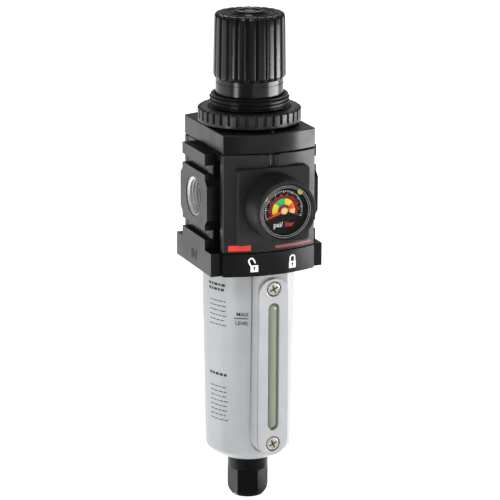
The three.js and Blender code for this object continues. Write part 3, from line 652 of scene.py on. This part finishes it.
def build_panel_nut():
    inner = COLLAR_RADIUS + 0.3
    rim = turned("nut", [(inner, NUT_LOW), (NUT_RADIUS - 0.7, NUT_LOW), (NUT_RADIUS, NUT_LOW + 0.6),
                         (NUT_RADIUS, NUT_HIGH - 0.6), (NUT_RADIUS - 0.8, NUT_HIGH),
                         (inner + 0.8, NUT_HIGH), (inner, NUT_HIGH - 0.8)], NUT_SLOTS * 4)
    half, deep, over = 0.95, 2.1, 2
    slots = []
    for i in range(NUT_SLOTS):
        slot = block("slot", (-half, -NUT_RADIUS - over, NUT_LOW + deep),
                     (half, deep - NUT_RADIUS, NUT_HIGH + over))
        slots.append(spin(soften(slot, 0.3, 2), NUT_PHASE + TAU * i / NUT_SLOTS))
    cut(rim, merge("slots", slots))
    dress(rim, "panel_nut_ring", LIT_NUT_PLASTIC, "nut", "black_plastic", "panel_nut")


def lobe_radius(angle, radius, height):
    """Round lobes with a soft groove between, on the grip only."""
    innermost, half_groove, deep = 16, 1.15, 1.25
    if radius < innermost or height < GRIP_LOW + 0.5:
        return radius
    step = TAU / KNOB_LOBES
    phase = ((angle - KNOB_PHASE) / step) % 1.0
    near = abs(phase - round(phase)) * step * radius  # arc length from the nearest groove
    groove = 0.5 + 0.5 * math.cos(math.pi * min(1.0, near / half_groove))
    return radius - 0.08 - deep * groove ** 0.8 + 0.1 * math.sin(math.pi * phase)


def build_knob():
    top = KNOB_TOP
    line = GRIP_LOW - 2.2  # middle of the fine groove round the skirt
    groove, inside = SKIRT_R - 0.4, 17.1
    profile = [(0, top - 1.7), (8.8, top - 1.7), (8.8, top - 0.3), (9.1, top), (10.6, top),
               (11.0, top - 0.7),
               (13.2, top - 0.75), (13.6, top - 0.25), (15.2, top - 0.25), (15.6, top - 0.6),
               (17.5, top - 0.45), (18.3, top - 0.5), (18.9, top - 0.9), (19.35, top - 1.5),
               (19.6, top - 2.4), (19.8, top - 6), (20.25, GRIP_LOW + 4), (20.3, GRIP_LOW + 2.2),
               (19.9, GRIP_LOW + 1.1), (19.3, GRIP_LOW + 0.4), (SKIRT_R, GRIP_LOW + 0.1),
               (SKIRT_R, line + 0.3), (groove, line + 0.2), (groove, line - 0.2), (SKIRT_R, line - 0.3),
               (SKIRT_R, SKIRT_LOW + 0.4), (groove, SKIRT_LOW), (inside, SKIRT_LOW), (inside, 94.6),
               (inside - 0.4, 95), (8.5, 95), (8.5, 90.6), (0, 90.6)]
    knob = turned("knob", profile, KNOB_LOBES * 24, lobe_radius)
    socket = turned("socket", [(0, 89), (5.55, 89), (5.55, 98), (0, 98)], 6)
    cut(knob, socket)
    dress(knob, "knob_shell", KNOB_PLASTIC, "knob", "black_plastic", "adjusting_knob", angle=38)
    top = CAP_TOP
    cap = turned("cap", [(0, top - 2.4), (8.5, top - 2.4), (8.5, top - 0.7), (8.3, top - 0.2),
                         (7.9, top), (6.3, top), (5.9, top - 0.2), (5.7, top - 0.75), (3.4, top - 0.8),
                         (3.1, top - 0.3), (2.7, top - 0.15), (1.2, top - 0.2), (0.8, top - 0.5),
                         (0, top - 0.6)])
    dress(cap, "knob_cap_disc", KNOB_PLASTIC, "knob", "black_plastic", "knob_cap")


# ---------------------------------------------------------------- bowl
def bowl_wall(height):
    """Outer radius of the bowl's taper at a height."""
    rows = [(BOWL_TOP, 26.1), (-64, 25.95), (-94, 25.3), (-124, 24.8), (-148.4, 24.4)]
    for (top, wide), (low, slim) in zip(rows, rows[1:]):
        if height >= low:
            return wide + (slim - wide) * (top - height) / (top - low)
    return rows[-1][1]


def front_panel(half, low, high, near, far):
    return to_front(prism("panel", stadium(half, low, high), near, far))


def facet(angle, radius, height):
    """Two narrow flats down the bowl, one on each side of its sight boss."""
    half = math.radians(4.6)
    off = abs(abs((angle + math.pi) % TAU - math.pi) - math.radians(33.5))
    if radius < 23 or height > BOWL_TOP or off > half:
        return radius
    return radius * math.cos(half) / math.cos(off)


def build_bowl():
    side = [(bowl_wall(z), z) for z in (BOWL_TOP - 0.5, -64, -94, -124, -147.6)]
    profile = [(0, BOWL_RIM), (21.9, BOWL_RIM), (22.3, BOWL_RIM - 0.4), (22.3, BOWL_TOP), (25.7, BOWL_TOP),
               *side, (24.1, -149), (23.4, -150), (18.8, -153.4), (17.4, -154.1), (16, BOWL_LOW),
               (12.4, BOWL_LOW), (7.4, BOWL_LOW), (7.4, NECK_LOW + 0.5), (6.9, NECK_LOW), (0, NECK_LOW)]
    shell = turned("bowl", profile, 240, facet)
    gap = 0.95
    moat = front_panel(SIGHT_HALF + gap, SIGHT_ENDS[0] - gap, BOWL_TOP + 12, 22.4, 40)
    cut(shell, moat)
    half = SIGHT_HALF + 0.4
    foot = arc(half, 180, 360, 20, (0, SIGHT_ENDS[0] - 0.4 + half))
    boss = prism("boss", [(half, BOWL_TOP - 0.3), (-half, BOWL_TOP - 0.3), *foot], 16, BOSS_FRONT)
    soften(to_front(boss), 0.5, 3)
    lugs = []
    for i in range(3):
        loop = arc(24, i * 120 - 15, i * 120 + 15, 10) + arc(21, i * 120 + 15, i * 120 - 15, 10)
        lugs.append(prism("lug", loop, -36.9, -34))
    join(shell, boss, *lugs)
    room = turned("room", [(0, -30), (20.1, -30), (20.1, -42), (22.6, -46), (21.6, -120), (20.8, -146),
                           (17, -149.2), (0, -149.2)], 96)
    seat = front_panel(SLOT_HALF + 1.9, SLOT_ENDS[0] - 2, SLOT_ENDS[1] + 2, 24.3, SIGHT_FRONT)
    window = front_panel(SLOT_HALF - 0.4, SLOT_ENDS[0] + 1, SLOT_ENDS[1] - 1, 15, 25)
    holes = [shift(to_front(turned("hole", [(0, 23.6), (1.9, 23.6), (1.9, 33), (0, 33)], 24)), z=z)
             for z in SIGHT_SCREWS]
    drain = turned("drain", [(0, NECK_LOW - 1), (3.45, NECK_LOW - 1), (3.45, -148), (0, -148)], FINE)
    cut(shell, room)
    cut(shell, seat, window, drain, *holes)
    spin(shell, BOWL_TURN)
    dress(shell, "bowl_casting", SILVER_PAINT, "filter_bowl", "silver_paint", "bowl")


def build_sight_plate():
    plate = front_panel(SIGHT_HALF, *SIGHT_ENDS, BOSS_FRONT + 0.3, SIGHT_FRONT)
    slot = front_panel(SLOT_HALF, *SLOT_ENDS, BOSS_FRONT - 1, SIGHT_FRONT + 1)
    above = SIGHT_FRONT + 0.1
    sink = [(0, 29), (4.4, 29), (4.4, SIGHT_FRONT - 0.35), (4.75, above), (0, above)]
    sinks = [shift(to_front(turned("sink", sink, FINE)), z=z) for z in SIGHT_SCREWS]
    cut(plate, slot, *sinks)
    soften(plate, 0.35, 3, 50)
    spin(plate, BOWL_TURN)
    dress(plate, "sight_plate_frame", PLATE_PAINT, "filter_bowl", "silver_paint", "sight_plate")
    tube = front_panel(SLOT_HALF + 1.3, SLOT_ENDS[0] - 1.4, SLOT_ENDS[1] + 1.4, 26, BOSS_FRONT - 0.2)
    reach = SLOT_HALF - 0.5
    low, high = SLOT_ENDS[0] + 0.6, SLOT_ENDS[1] - 0.6
    rod = turned("rod", [(0, low), *arc(reach, -75, 0, 5, (0, low + reach)),
                         *arc(reach, 0, 75, 5, (0, high - reach)), (0, high)], FINE)
    shift(rod, y=-BOSS_FRONT + 1.3)
    join(tube, rod)
    spin(tube, BOWL_TURN)
    dress(tube, "sight_glass_bar", SIGHT_GLASS, "filter_bowl", "sight_glass", "sight_glass")


def phillips_screw(name, node, z):
    """A cheese head with a cross recess. The dark metal on the recess floor and the dark ring at the bottom
    of its sink are painted shade.
    """
    head_top = SIGHT_FRONT - 0.15
    neck = BOSS_FRONT + 0.45
    head = turned("head", [(0, 23.8), (1.2, 23.8), (1.6, 24.3), (1.6, neck), (3.6, neck),
                           (3.8, head_top - 0.6), (3.6, head_top - 0.25), (3.1, head_top),
                           (0, head_top + 0.06)], FINE)
    arms = [block("arm", (-x, -y, head_top - 1.0), (x, y, head_top + 1))
            for x, y in ((2.5, 0.5), (0.5, 2.5))]
    well = turned("well", [(0, head_top - 1.25), (0.7, head_top - 1.2), (1.4, head_top + 1),
                           (0, head_top + 1)], 24)
    cut(head, *arms, well)
    # Dark metal laid in the cross recess: painted shade.
    floor = merge("floor", [block("arm", (-x, -y, head_top - 0.98), (x, y, head_top - 0.3))
                            for x, y in ((2.47, 0.47), (0.47, 2.47))])
    # A dark ring at the bottom of the gap round the head: painted shade in the sink.
    seat = turned("seat", [(1.8, BOSS_FRONT + 0.05), (4.3, BOSS_FRONT + 0.05), (4.35, BOSS_FRONT + 0.35),
                           (1.8, BOSS_FRONT + 0.35)], FINE)
    for piece in (head, floor, seat):
        spin(piece, math.radians(23))
        spin(shift(to_front(piece), z=z), BOWL_TURN)
    dress(head, name, SCREW_METAL, "filter_bowl", "steel", node)
    dress(floor, name + "_painted_recess_shade", PAINTED_RECESS_SHADE, "filter_bowl", "steel")
    dress(seat, name + "_seat", RUBBER, "filter_bowl", "rubber")


def build_drain_knob():
    low, high = DRAIN_LOW, DRAIN_HIGH
    profile = [(0, low), (8.2, low), (9.3, low + 0.35), (10.6, low + 2.2), (11.2, low + 3.2),
               (11.55, low + 4.6), (11.65, low + 6.5), (11.65, high - 0.5), (11.25, high), (0, high)]
    grip = turned("grip", profile)
    corner = 10.1 / math.cos(math.pi / 6)
    hexagon = turned("hexagon", [(0, low - 1), (corner, low - 1), (corner, low + 17.2), (0, low + 17.2)], 6)
    sleeve = turned("sleeve", [(0, low + 16.9), (12, low + 16.9), (12, high + 1), (0, high + 1)])
    cone = turned("cone", [(0, low + 14.8), (9.6, low + 14.8), (12.4, low + 17.6), (0, low + 17.6)])
    join(hexagon, sleeve, cone)
    combine(grip, [hexagon], "INTERSECT")
    bore = turned("bore", [(0, low - 1), (4.9, low - 1), (4.4, low + 0.5), (4.4, low + 6),
                           (3.5, low + 7), (3.5, NECK_LOW - 0.6), (7.7, NECK_LOW - 0.6),
                           (7.7, high + 1), (0, high + 1)], FINE)
    cut(grip, bore)
    spin(grip, math.radians(BOWL_DEGREES + DRAIN_DEGREES))
    dress(grip, "drain_knob_grip", DRAIN_PLASTIC, "drain_grip", "black_plastic", "drain_knob")


# ---------------------------------------------------------------- springs and diaphragm
def coil(name, radius, wire, low, high, turns):
    """A round wire wound up from low to high, its first and last half turn flat."""
    flat, sides = 0.5, 10
    steps = int(turns * 20)
    bm = bmesh.new()
    rings = []
    for i in range(steps + 1):
        turn = turns * i / steps
        rise = min(1.0, max(0.0, (turn - flat) / (turns - 2 * flat)))
        height = low + wire + (high - low - 2 * wire) * rise
        around = TAU * turn
        ring = []
        for k in range(sides):
            tilt = TAU * k / sides
            reach = radius + wire * math.cos(tilt)
            ring.append(bm.verts.new((reach * math.cos(around) * MM, reach * math.sin(around) * MM,
                                      (height + wire * math.sin(tilt)) * MM)))
        rings.append(ring)
    for lower, upper in zip(rings, rings[1:]):
        for k in range(sides):
            j = (k + 1) % sides
            bm.faces.new((lower[k], upper[k], upper[j], lower[j]))
    bm.faces.new(rings[0])
    bm.faces.new(list(reversed(rings[-1])))
    return mesh_piece(name, bm)


def build_springs():
    """Both springs, each wound between the heights of its CAD node and given a mesh of its own."""
    low, high = span("range_spring")[0].z, span("range_spring")[1].z
    main = coil("range", 11, 1.2, low, high, 7)
    dress(main, "range_spring_coil", STEEL, "housing", "steel", "range_spring")
    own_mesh(main)
    low, high = span("valve_spring")[0].z, span("valve_spring")[1].z
    small = coil("small", 3.9, 0.4, low, high, 4)
    dress(small, "valve_spring_coil", STEEL, "housing", "steel", "valve_spring")
    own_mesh(small)


def build_diaphragm():
    """The clamped rim with its roll, and the middle that moves with the plate."""
    low, top = 27.3, 28.8
    rim = turned("rim", [(16.3, low - 0.7), (17.2, low - 0.9), (19, low - 0.9), (20.6, low), (24.5, low),
                         (24.5, top), (20, top), (18.6, low + 0.3), (17.4, low - 0.1), (16.3, low + 0.2)])
    dress(rim, "diaphragm_rim", RUBBER, "housing", "rubber", "diaphragm")
    middle = turned("middle", [(4, low), (15.4, low), (16.1, low + 0.3), (16.1, top - 0.3), (15.6, top),
                               (4, top)])
    dress(middle, "diaphragm_middle", RUBBER, "sensing", "rubber")


# ---------------------------------------------------------------- gauge
def on_gauge(obj):
    """From the gauge's own upright frame, face up, to its place on the front pad."""
    return shift(to_front(obj), y=-PAD_FRONT, z=GAUGE_Z)


GAUGE_R = 18.2
GLASS_R = 14.6
GAUGE_H = 17.8
DIAL = 13.2


def build_gauge_case():
    case = turned("case", [(5.5, 0.3), (GAUGE_R - 0.3, 0.3), (GAUGE_R, 0.6), (GAUGE_R - 0.5, 15.6),
                           (GAUGE_R - 0.6, 16.1), (16.3, 16.1), (16.3, 2.4), (5.5, 2.4)])
    dress(on_gauge(case), "gauge_case_cup", GAUGE_PLASTIC, "housing", "black_plastic", "gauge_case")
    bezel = turned("bezel", [(GLASS_R + 0.3, 16.5), (GAUGE_R - 0.6, 16.5), (GAUGE_R - 0.62, GAUGE_H - 0.7),
                             (GAUGE_R - 0.85, GAUGE_H - 0.2), (GAUGE_R - 1.3, GAUGE_H),
                             (GAUGE_R - 2.4, GAUGE_H - 0.15), (GLASS_R + 0.5, GAUGE_H - 1.0),
                             (GLASS_R, GAUGE_H - 1.15)])
    dress(on_gauge(bezel), "gauge_bezel_ring", GAUGE_PLASTIC, "housing", "black_plastic", "gauge_bezel")
    rims = [turned("rim", [(r - 0.1, 16.25), (r + 0.1, 16.25), (r + 0.1, top), (r - 0.1, top)])
            for r, top in ((GLASS_R - 0.15, 16.75), (GLASS_R - 1.1, 16.42))]
    dress(on_gauge(merge("rims", rims)), "gauge_glass_rims", RIM_METAL, "housing", "aluminium")
    lens = turned("lens", [(0, 15.2), (15.5, 15.2), (15.7, 15.4), (15.7, 16.0), (15.5, 16.2), (0, 16.2)])
    dress(on_gauge(lens), "gauge_lens_disc", LENS, "housing", "clear_lens", "gauge_lens")


def dial_angle(clockwise):
    """Degrees anticlockwise from +X for an angle measured clockwise from straight up."""
    return 90 - clockwise


def printed_arc(inner, outer, start, stop, high=0.05):
    count = max(4, int(abs(stop - start) / 3))
    loop = arc(outer, dial_angle(start), dial_angle(stop), count)
    loop += arc(inner, dial_angle(stop), dial_angle(start), count)
    return prism("print", loop, DIAL, DIAL + high)


def printed_text(words, size, x, y, turn=0.0, high=0.06):
    curve = bpy.data.curves.new("text", "FONT")
    curve.body = words
    curve.size = size * MM
    curve.align_x = "CENTER"
    curve.align_y = "CENTER"
    curve.extrude = high * MM
    curve.offset = size * 0.012 * MM
    curve.resolution_u = 3
    text = link(bpy.data.objects.new("text", curve))
    bpy.context.view_layer.update()
    mesh = bpy.data.meshes.new_from_object(text.evaluated_get(bpy.context.evaluated_depsgraph_get()))
    bpy.data.objects.remove(text)
    made = link(bpy.data.objects.new("text", mesh))
    move(made, Matrix.Diagonal((1, 1, 0.5, 1)))
    shift(made, z=high / 2)
    spin(made, math.radians(turn))
    return shift(made, x, y)


def print_on_dial(name, pieces, color):
    dress(on_gauge(merge(name, pieces)), name, INK[color], "housing", "dial")


def build_dial():
    start, sweep = -112, 222
    bands = [("green", -50, 8), ("yellow", -112, -50), ("orange", 50, 85), ("cream", 85, 110)]
    for color, low, high in bands:
        pieces = [printed_arc(3.5, 6.8, low, high)]
        if color == "yellow":
            pieces.append(printed_arc(3.5, 6.8, 8, 50))
        print_on_dial("dial_band_" + color, pieces, color)
    print_on_dial("dial_hub_ring", [printed_arc(1.7, 3.4, -125, 110, 0.04)], "maroon")
    white, red = [], []
    out, aside = 8.9, 0.16  # where the numerals stand: radius, and radians off the middle of their step
    for i in range(41):
        angle = start + sweep * i / 40
        half = math.degrees((0.18 if i % 5 == 0 else 0.12) / 11)
        white.append(printed_arc(9.9 if i % 5 == 0 else 10.4, 11.3, angle - half, angle + half))
    for i in range(45):
        angle = start + sweep * i / 44
        half = math.degrees(0.12 / 8)
        red.append(printed_arc(7.3, 9.1 if i % 4 == 0 else 8.3, angle - half, angle + half))
    for i in range(9):
        angle = math.radians(dial_angle(start + sweep * (i + 0.5) / 9)) + aside
        red.append(shift(printed_text(str(i), 1.7, out * math.cos(angle), out * math.sin(angle)), z=DIAL))
    white.append(shift(printed_text("psi/", 4.0, -3.2, -7.9), z=DIAL))
    red.append(shift(printed_text("bar", 4.0, 3.6, -7.9), z=DIAL))
    print_on_dial("dial_white_print", white, "white")
    print_on_dial("dial_red_print", red, "red")
    dial = turned("dial", [(1.0, DIAL - 0.8), (15.9, DIAL - 0.8), (15.9, DIAL), (1.0, DIAL)])
    dress(on_gauge(dial), "dial_plate", DIAL_BLACK, "housing", "dial", "gauge_dial")


# ---------------------------------------------------------------- printed and engraved marks
def bend(obj, place):
    """Moves every vertex of a flat mark (x across, y up, z proud) to place(x, y, z), in millimetres."""
    for vertex in obj.data.vertices:
        vertex.co = Vector(place(*(vertex.co / MM))) * MM
    return obj


def on_swell(x, y, z):
    """Onto the swollen front of the cover or band."""
    return x, -SWELL_CENTRE - math.sqrt(SWELL_RADIUS ** 2 - x * x) - z, y


def on_bowl(middle):
    """Onto the bowl, round an azimuth in degrees from the front."""
    def place(x, y, z):
        radius = bowl_wall(y) + z
        angle = math.radians(middle) + x / radius
        return radius * math.sin(angle), -radius * math.cos(angle), y
    return place


def bar(x0, y0, x1, y1, high=0.05, steps=6):
    """A flat printed bar, cut across so that it can bend."""
    along = [x0 + (x1 - x0) * i / steps for i in range(steps + 1)]
    loop = [(x, y0) for x in along] + [(x, y1) for x in reversed(along)]
    bm = bmesh.new()
    rows = [[bm.verts.new((x * MM, y * MM, z * MM)) for x, y in loop] for z in (0, high)]
    count, last = len(loop), len(loop) - 1
    for row in rows:
        for i in range(steps):
            bm.faces.new((row[i], row[i + 1], row[last - i - 1], row[last - i]))
    for i in range(count):
        j = (i + 1) % count
        bm.faces.new((rows[0][i], rows[0][j], rows[1][j], rows[1][i]))
    return mesh_piece("bar", bm)


def padlock(x, y, swung):
    """A padlock sign: body, shackle and, in black, the keyhole."""
    body = soften(prism("lock", [(-2.2, -3.9), (2.2, -3.9), (2.2, 0), (-2.2, 0)], 0, 0.07), 0.9, 3, 60)
    outer = [(1.9, -0.2), *arc(1.9, 0, 180, 12, (0, 1.9)), (-1.9, -0.2)]
    inner = [(-1.05, -0.2), *arc(1.05, 180, 0, 12, (0, 1.9)), (1.05, -0.2)]
    shackle = prism("shackle", outer + inner, 0, 0.07)
    if swung:
        shift(spin(shackle, math.radians(24)), -0.9, 0.75)
    slot = prism("slot", [(-0.28, -1.3), (0.28, -1.3), (0.28, 0), (-0.28, 0)], 0.06, 0.088)
    hole = merge("keyhole", [prism("round", arc(0.62, 0, 345, 16), 0.07, 0.09), slot])
    shift(hole, 0, -1.5)
    for one in (body, shackle, hole):
        shift(one, x, y)
    return merge("padlock", [body, shackle]), hole


def build_cover_marks():
    signs = [padlock(-10.6, -33.6, True), padlock(12.4, -33.6, False)]
    white = bend(merge("signs", [sign for sign, hole in signs]), on_swell)
    dress(white, "lock_signs", INK["white"], "housing", "set_yellow")
    black = bend(merge("holes", [hole for sign, hole in signs]), on_swell)
    dress(black, "lock_sign_keyholes", INK["black"], "housing", "dial")
    accent = bend(bar(-24.8, -25.2, -12.6, -22.0), on_swell)
    dress(accent, "accent_stripe_left", INK["red"], "housing", "needle_red")
    thin = bend(bar(1.5, -24.8, 25.0, -23.3), on_swell)
    dress(thin, "accent_stripe_right", INK["dusk"], "housing", "needle_red")


def build_port_marks():
    for words, side in (("IN", -1), ("OUT", 1)):
        mark = printed_text(words, 8.5, 0, 0, high=0.12)
        spin(mark, math.pi / 2, "X")
        spin(mark, side * math.pi / 2)
        shift(mark, side * PORT_FACE, side * 0.5, (BAND_LOW + BAND_HIGH) / 2)
        dress(mark, "port_mark_" + words.lower(), INK["black"], "housing", "dial")


def build_bowl_marks():
    marks = [printed_text("MAX", 3.3, 0.9, -65.2), bar(-4.2, -67.7, 4.0, -67.2),
             printed_text("LEVEL", 3.0, 0.6, -70.4)]
    level = merge("level", [bend(one, on_bowl(-32.0)) for one in marks])
    dress(level, "bowl_level_mark", INK["grey"], "filter_bowl", "dial")
    dice = random.Random(7)
    lines = []
    line_step = 2.8
    blocks = ((-50, 2, 14, 1.5), (-59, 6, 13, 0.5), (-103, 1, 14, 1.5), (-110, 8, 13, 0.5))
    for top, count, long, thick in blocks:
        for i in range(count):
            x, y = -long, top - i * line_step
            while x < -1.5:
                word = min(dice.uniform(1.2, 3.4), -x)
                lines.append(bar(x, y, x + word, y + thick, 0.05, 3))
                x += word + 0.7
    panel = merge("panel", [bend(one, on_bowl(-50)) for one in lines])
    dress(panel, "bowl_notice_lines", INK["grey"], "filter_bowl", "dial")
    index = prism("index", [(-1.1, 0), (1.1, 0), (0, 1.8)], 0, 0.08)
    dress(bend(shift(index, 0, -44.8), on_bowl(30)), "bowl_index_mark", INK["grey"], "filter_bowl", "dial")


def build_needle():
    blade = prism("blade", [(-0.55, -4.6), (0.55, -4.6), (0.8, -3.4), (0.85, 0), (0.16, 11.3),
                            (-0.16, 11.3), (-0.85, 0), (-0.8, -3.4)], 13.8, 14.15)
    soften(blade, 0.1, 2)
    arbor = turned("arbor", [(0, 8.6), (0.6, 8.6), (0.6, 14), (0, 14)], 24)
    rest = 112  # degrees back from straight up, where the scale starts
    spin(blade, math.radians(rest))
    dress(on_gauge(merge("needle", [blade, arbor])), "needle_blade", NEEDLE_RED, "needle", "needle_red",
          "gauge_needle")
    hub = turned("hub", [(0, 13.6), (1.9, 13.6), (1.95, 14.3), (1.6, 14.65), (1.0, 14.75),
                         (0.9, 14.5), (0, 14.45)], FINE)
    dress(on_gauge(hub), "needle_hub", INK["cream"], "needle", "needle_red")


def build_set_pointer(name, node, body, low, angle):
    ring = turned("ring", [(14.9, low), (15.9, low), (15.9, low + 0.3), (14.9, low + 0.3)])
    tab = prism("tab", [(-0.25, 12.0), (0.25, 12.0), (1.6, 12.9), (1.6, 15.4), (-1.6, 15.4), (-1.6, 12.9)],
                low, low + 0.3)
    soften(tab, 0.08, 2)
    dress(on_gauge(ring), name + "_ring", DIAL_BLACK, body, "dial", node)
    spin(tab, math.radians(-angle))
    dress(on_gauge(tab), name + "_tab", SET_YELLOW, body, "set_yellow")


# ---------------------------------------------------------------- floor and light
def build_stage():
    """A plain pale floor that also gives off light, so that it comes out white.

    Its front half is hidden from glossy rays, so the black pieces don't mirror it.
    """
    low, reach = DRAIN_LOW - 1, 6000
    made = Nodes("floor", (0.8, 0.8, 0.8), 0.7, Specular_IOR_Level=0.1)
    made.shader.inputs["Emission Color"].default_value = (1, 1, 1, 1)
    made.shader.inputs["Emission Strength"].default_value = 0.95
    for name, near, far in (("floor_front", -reach, 0), ("floor_back", 0, reach)):
        floor = block(name, (-reach, near, low - 5), (reach, far, low))
        floor.data.materials.append(made.material)
        floor.visible_glossy = near == 0


def soft_box(name, azimuth, distance, height, size, radiance, aim=(0, 0, -0.03)):
    """An area light at an azimuth in degrees, of a size in metres and a radiance."""
    data = bpy.data.lights.new(name, "AREA")
    data.shape = "RECTANGLE"
    data.size, data.size_y = size
    data.energy = radiance * math.pi * size[0] * size[1]
    lamp = link(bpy.data.objects.new(name, data))
    angle = math.radians(azimuth)
    lamp.location = (distance * math.sin(angle), -distance * math.cos(angle), height)
    lamp.rotation_euler = (Vector(aim) - lamp.location).to_track_quat("-Z", "Y").to_euler()
    lamp.visible_camera = False


def build_light():
    """Five soft boxes, and a world that is white to camera rays and dim to all others."""
    world = bpy.data.worlds.new("studio")
    bpy.context.scene.world = world
    world.use_nodes = True
    tree = world.node_tree
    back = tree.nodes["Background"]
    back.inputs["Color"].default_value = (1, 1, 1, 1)
    back.inputs["Strength"].default_value = 0.16
    bright = tree.nodes.new("ShaderNodeBackground")
    bright.inputs["Color"].default_value = (1, 1, 1, 1)
    path = tree.nodes.new("ShaderNodeLightPath")
    mix = tree.nodes.new("ShaderNodeMixShader")
    tree.links.new(path.outputs["Is Camera Ray"], mix.inputs["Fac"])
    tree.links.new(back.outputs["Background"], mix.inputs[1])
    tree.links.new(bright.outputs["Background"], mix.inputs[2])
    tree.links.new(mix.outputs["Shader"], tree.nodes["World Output"].inputs["Surface"])
    soft_box("top_light", -30, 1.0, 1.1, (0.8, 0.8), 4.5)
    soft_box("left_strip", -68, 0.62, -0.1, (0.13, 0.16), 10, (0, 0, -0.1))
    soft_box("front_fill", 14, 0.62, -0.1, (0.6, 0.16), 0.7, (0, 0, -0.1))
    soft_box("right_panel", 68, 0.62, -0.1, (0.5, 0.16), 12, (0, 0, -0.1))
    soft_box("back_light", 160, 1.6, 1.4, (1.4, 1.0), 3, (0.2, 0.6, -0.18))


paint_frame()
build_body()
build_port_thread("inlet_thread", -1)
build_port_thread("outlet_thread", 1)
build_covers()
build_bonnet()
build_panel_nut()
build_knob()
build_bowl()
build_sight_plate()
for upper_lower, height in zip(("upper", "lower"), SIGHT_SCREWS):
    phillips_screw("sight_screw_" + upper_lower, "sight_plate_screw_" + upper_lower, height)
build_drain_knob()
build_gauge_case()
build_dial()
build_needle()
build_set_pointer("low_pointer_tab", "low_set_pointer", "low_pointer", 13.5, -56)
build_set_pointer("high_pointer_tab", "high_set_pointer", "high_pointer", 14.2, 43)
build_springs()
build_diaphragm()
build_cover_marks()
build_port_marks()
build_bowl_marks()
build_stage()
build_light()
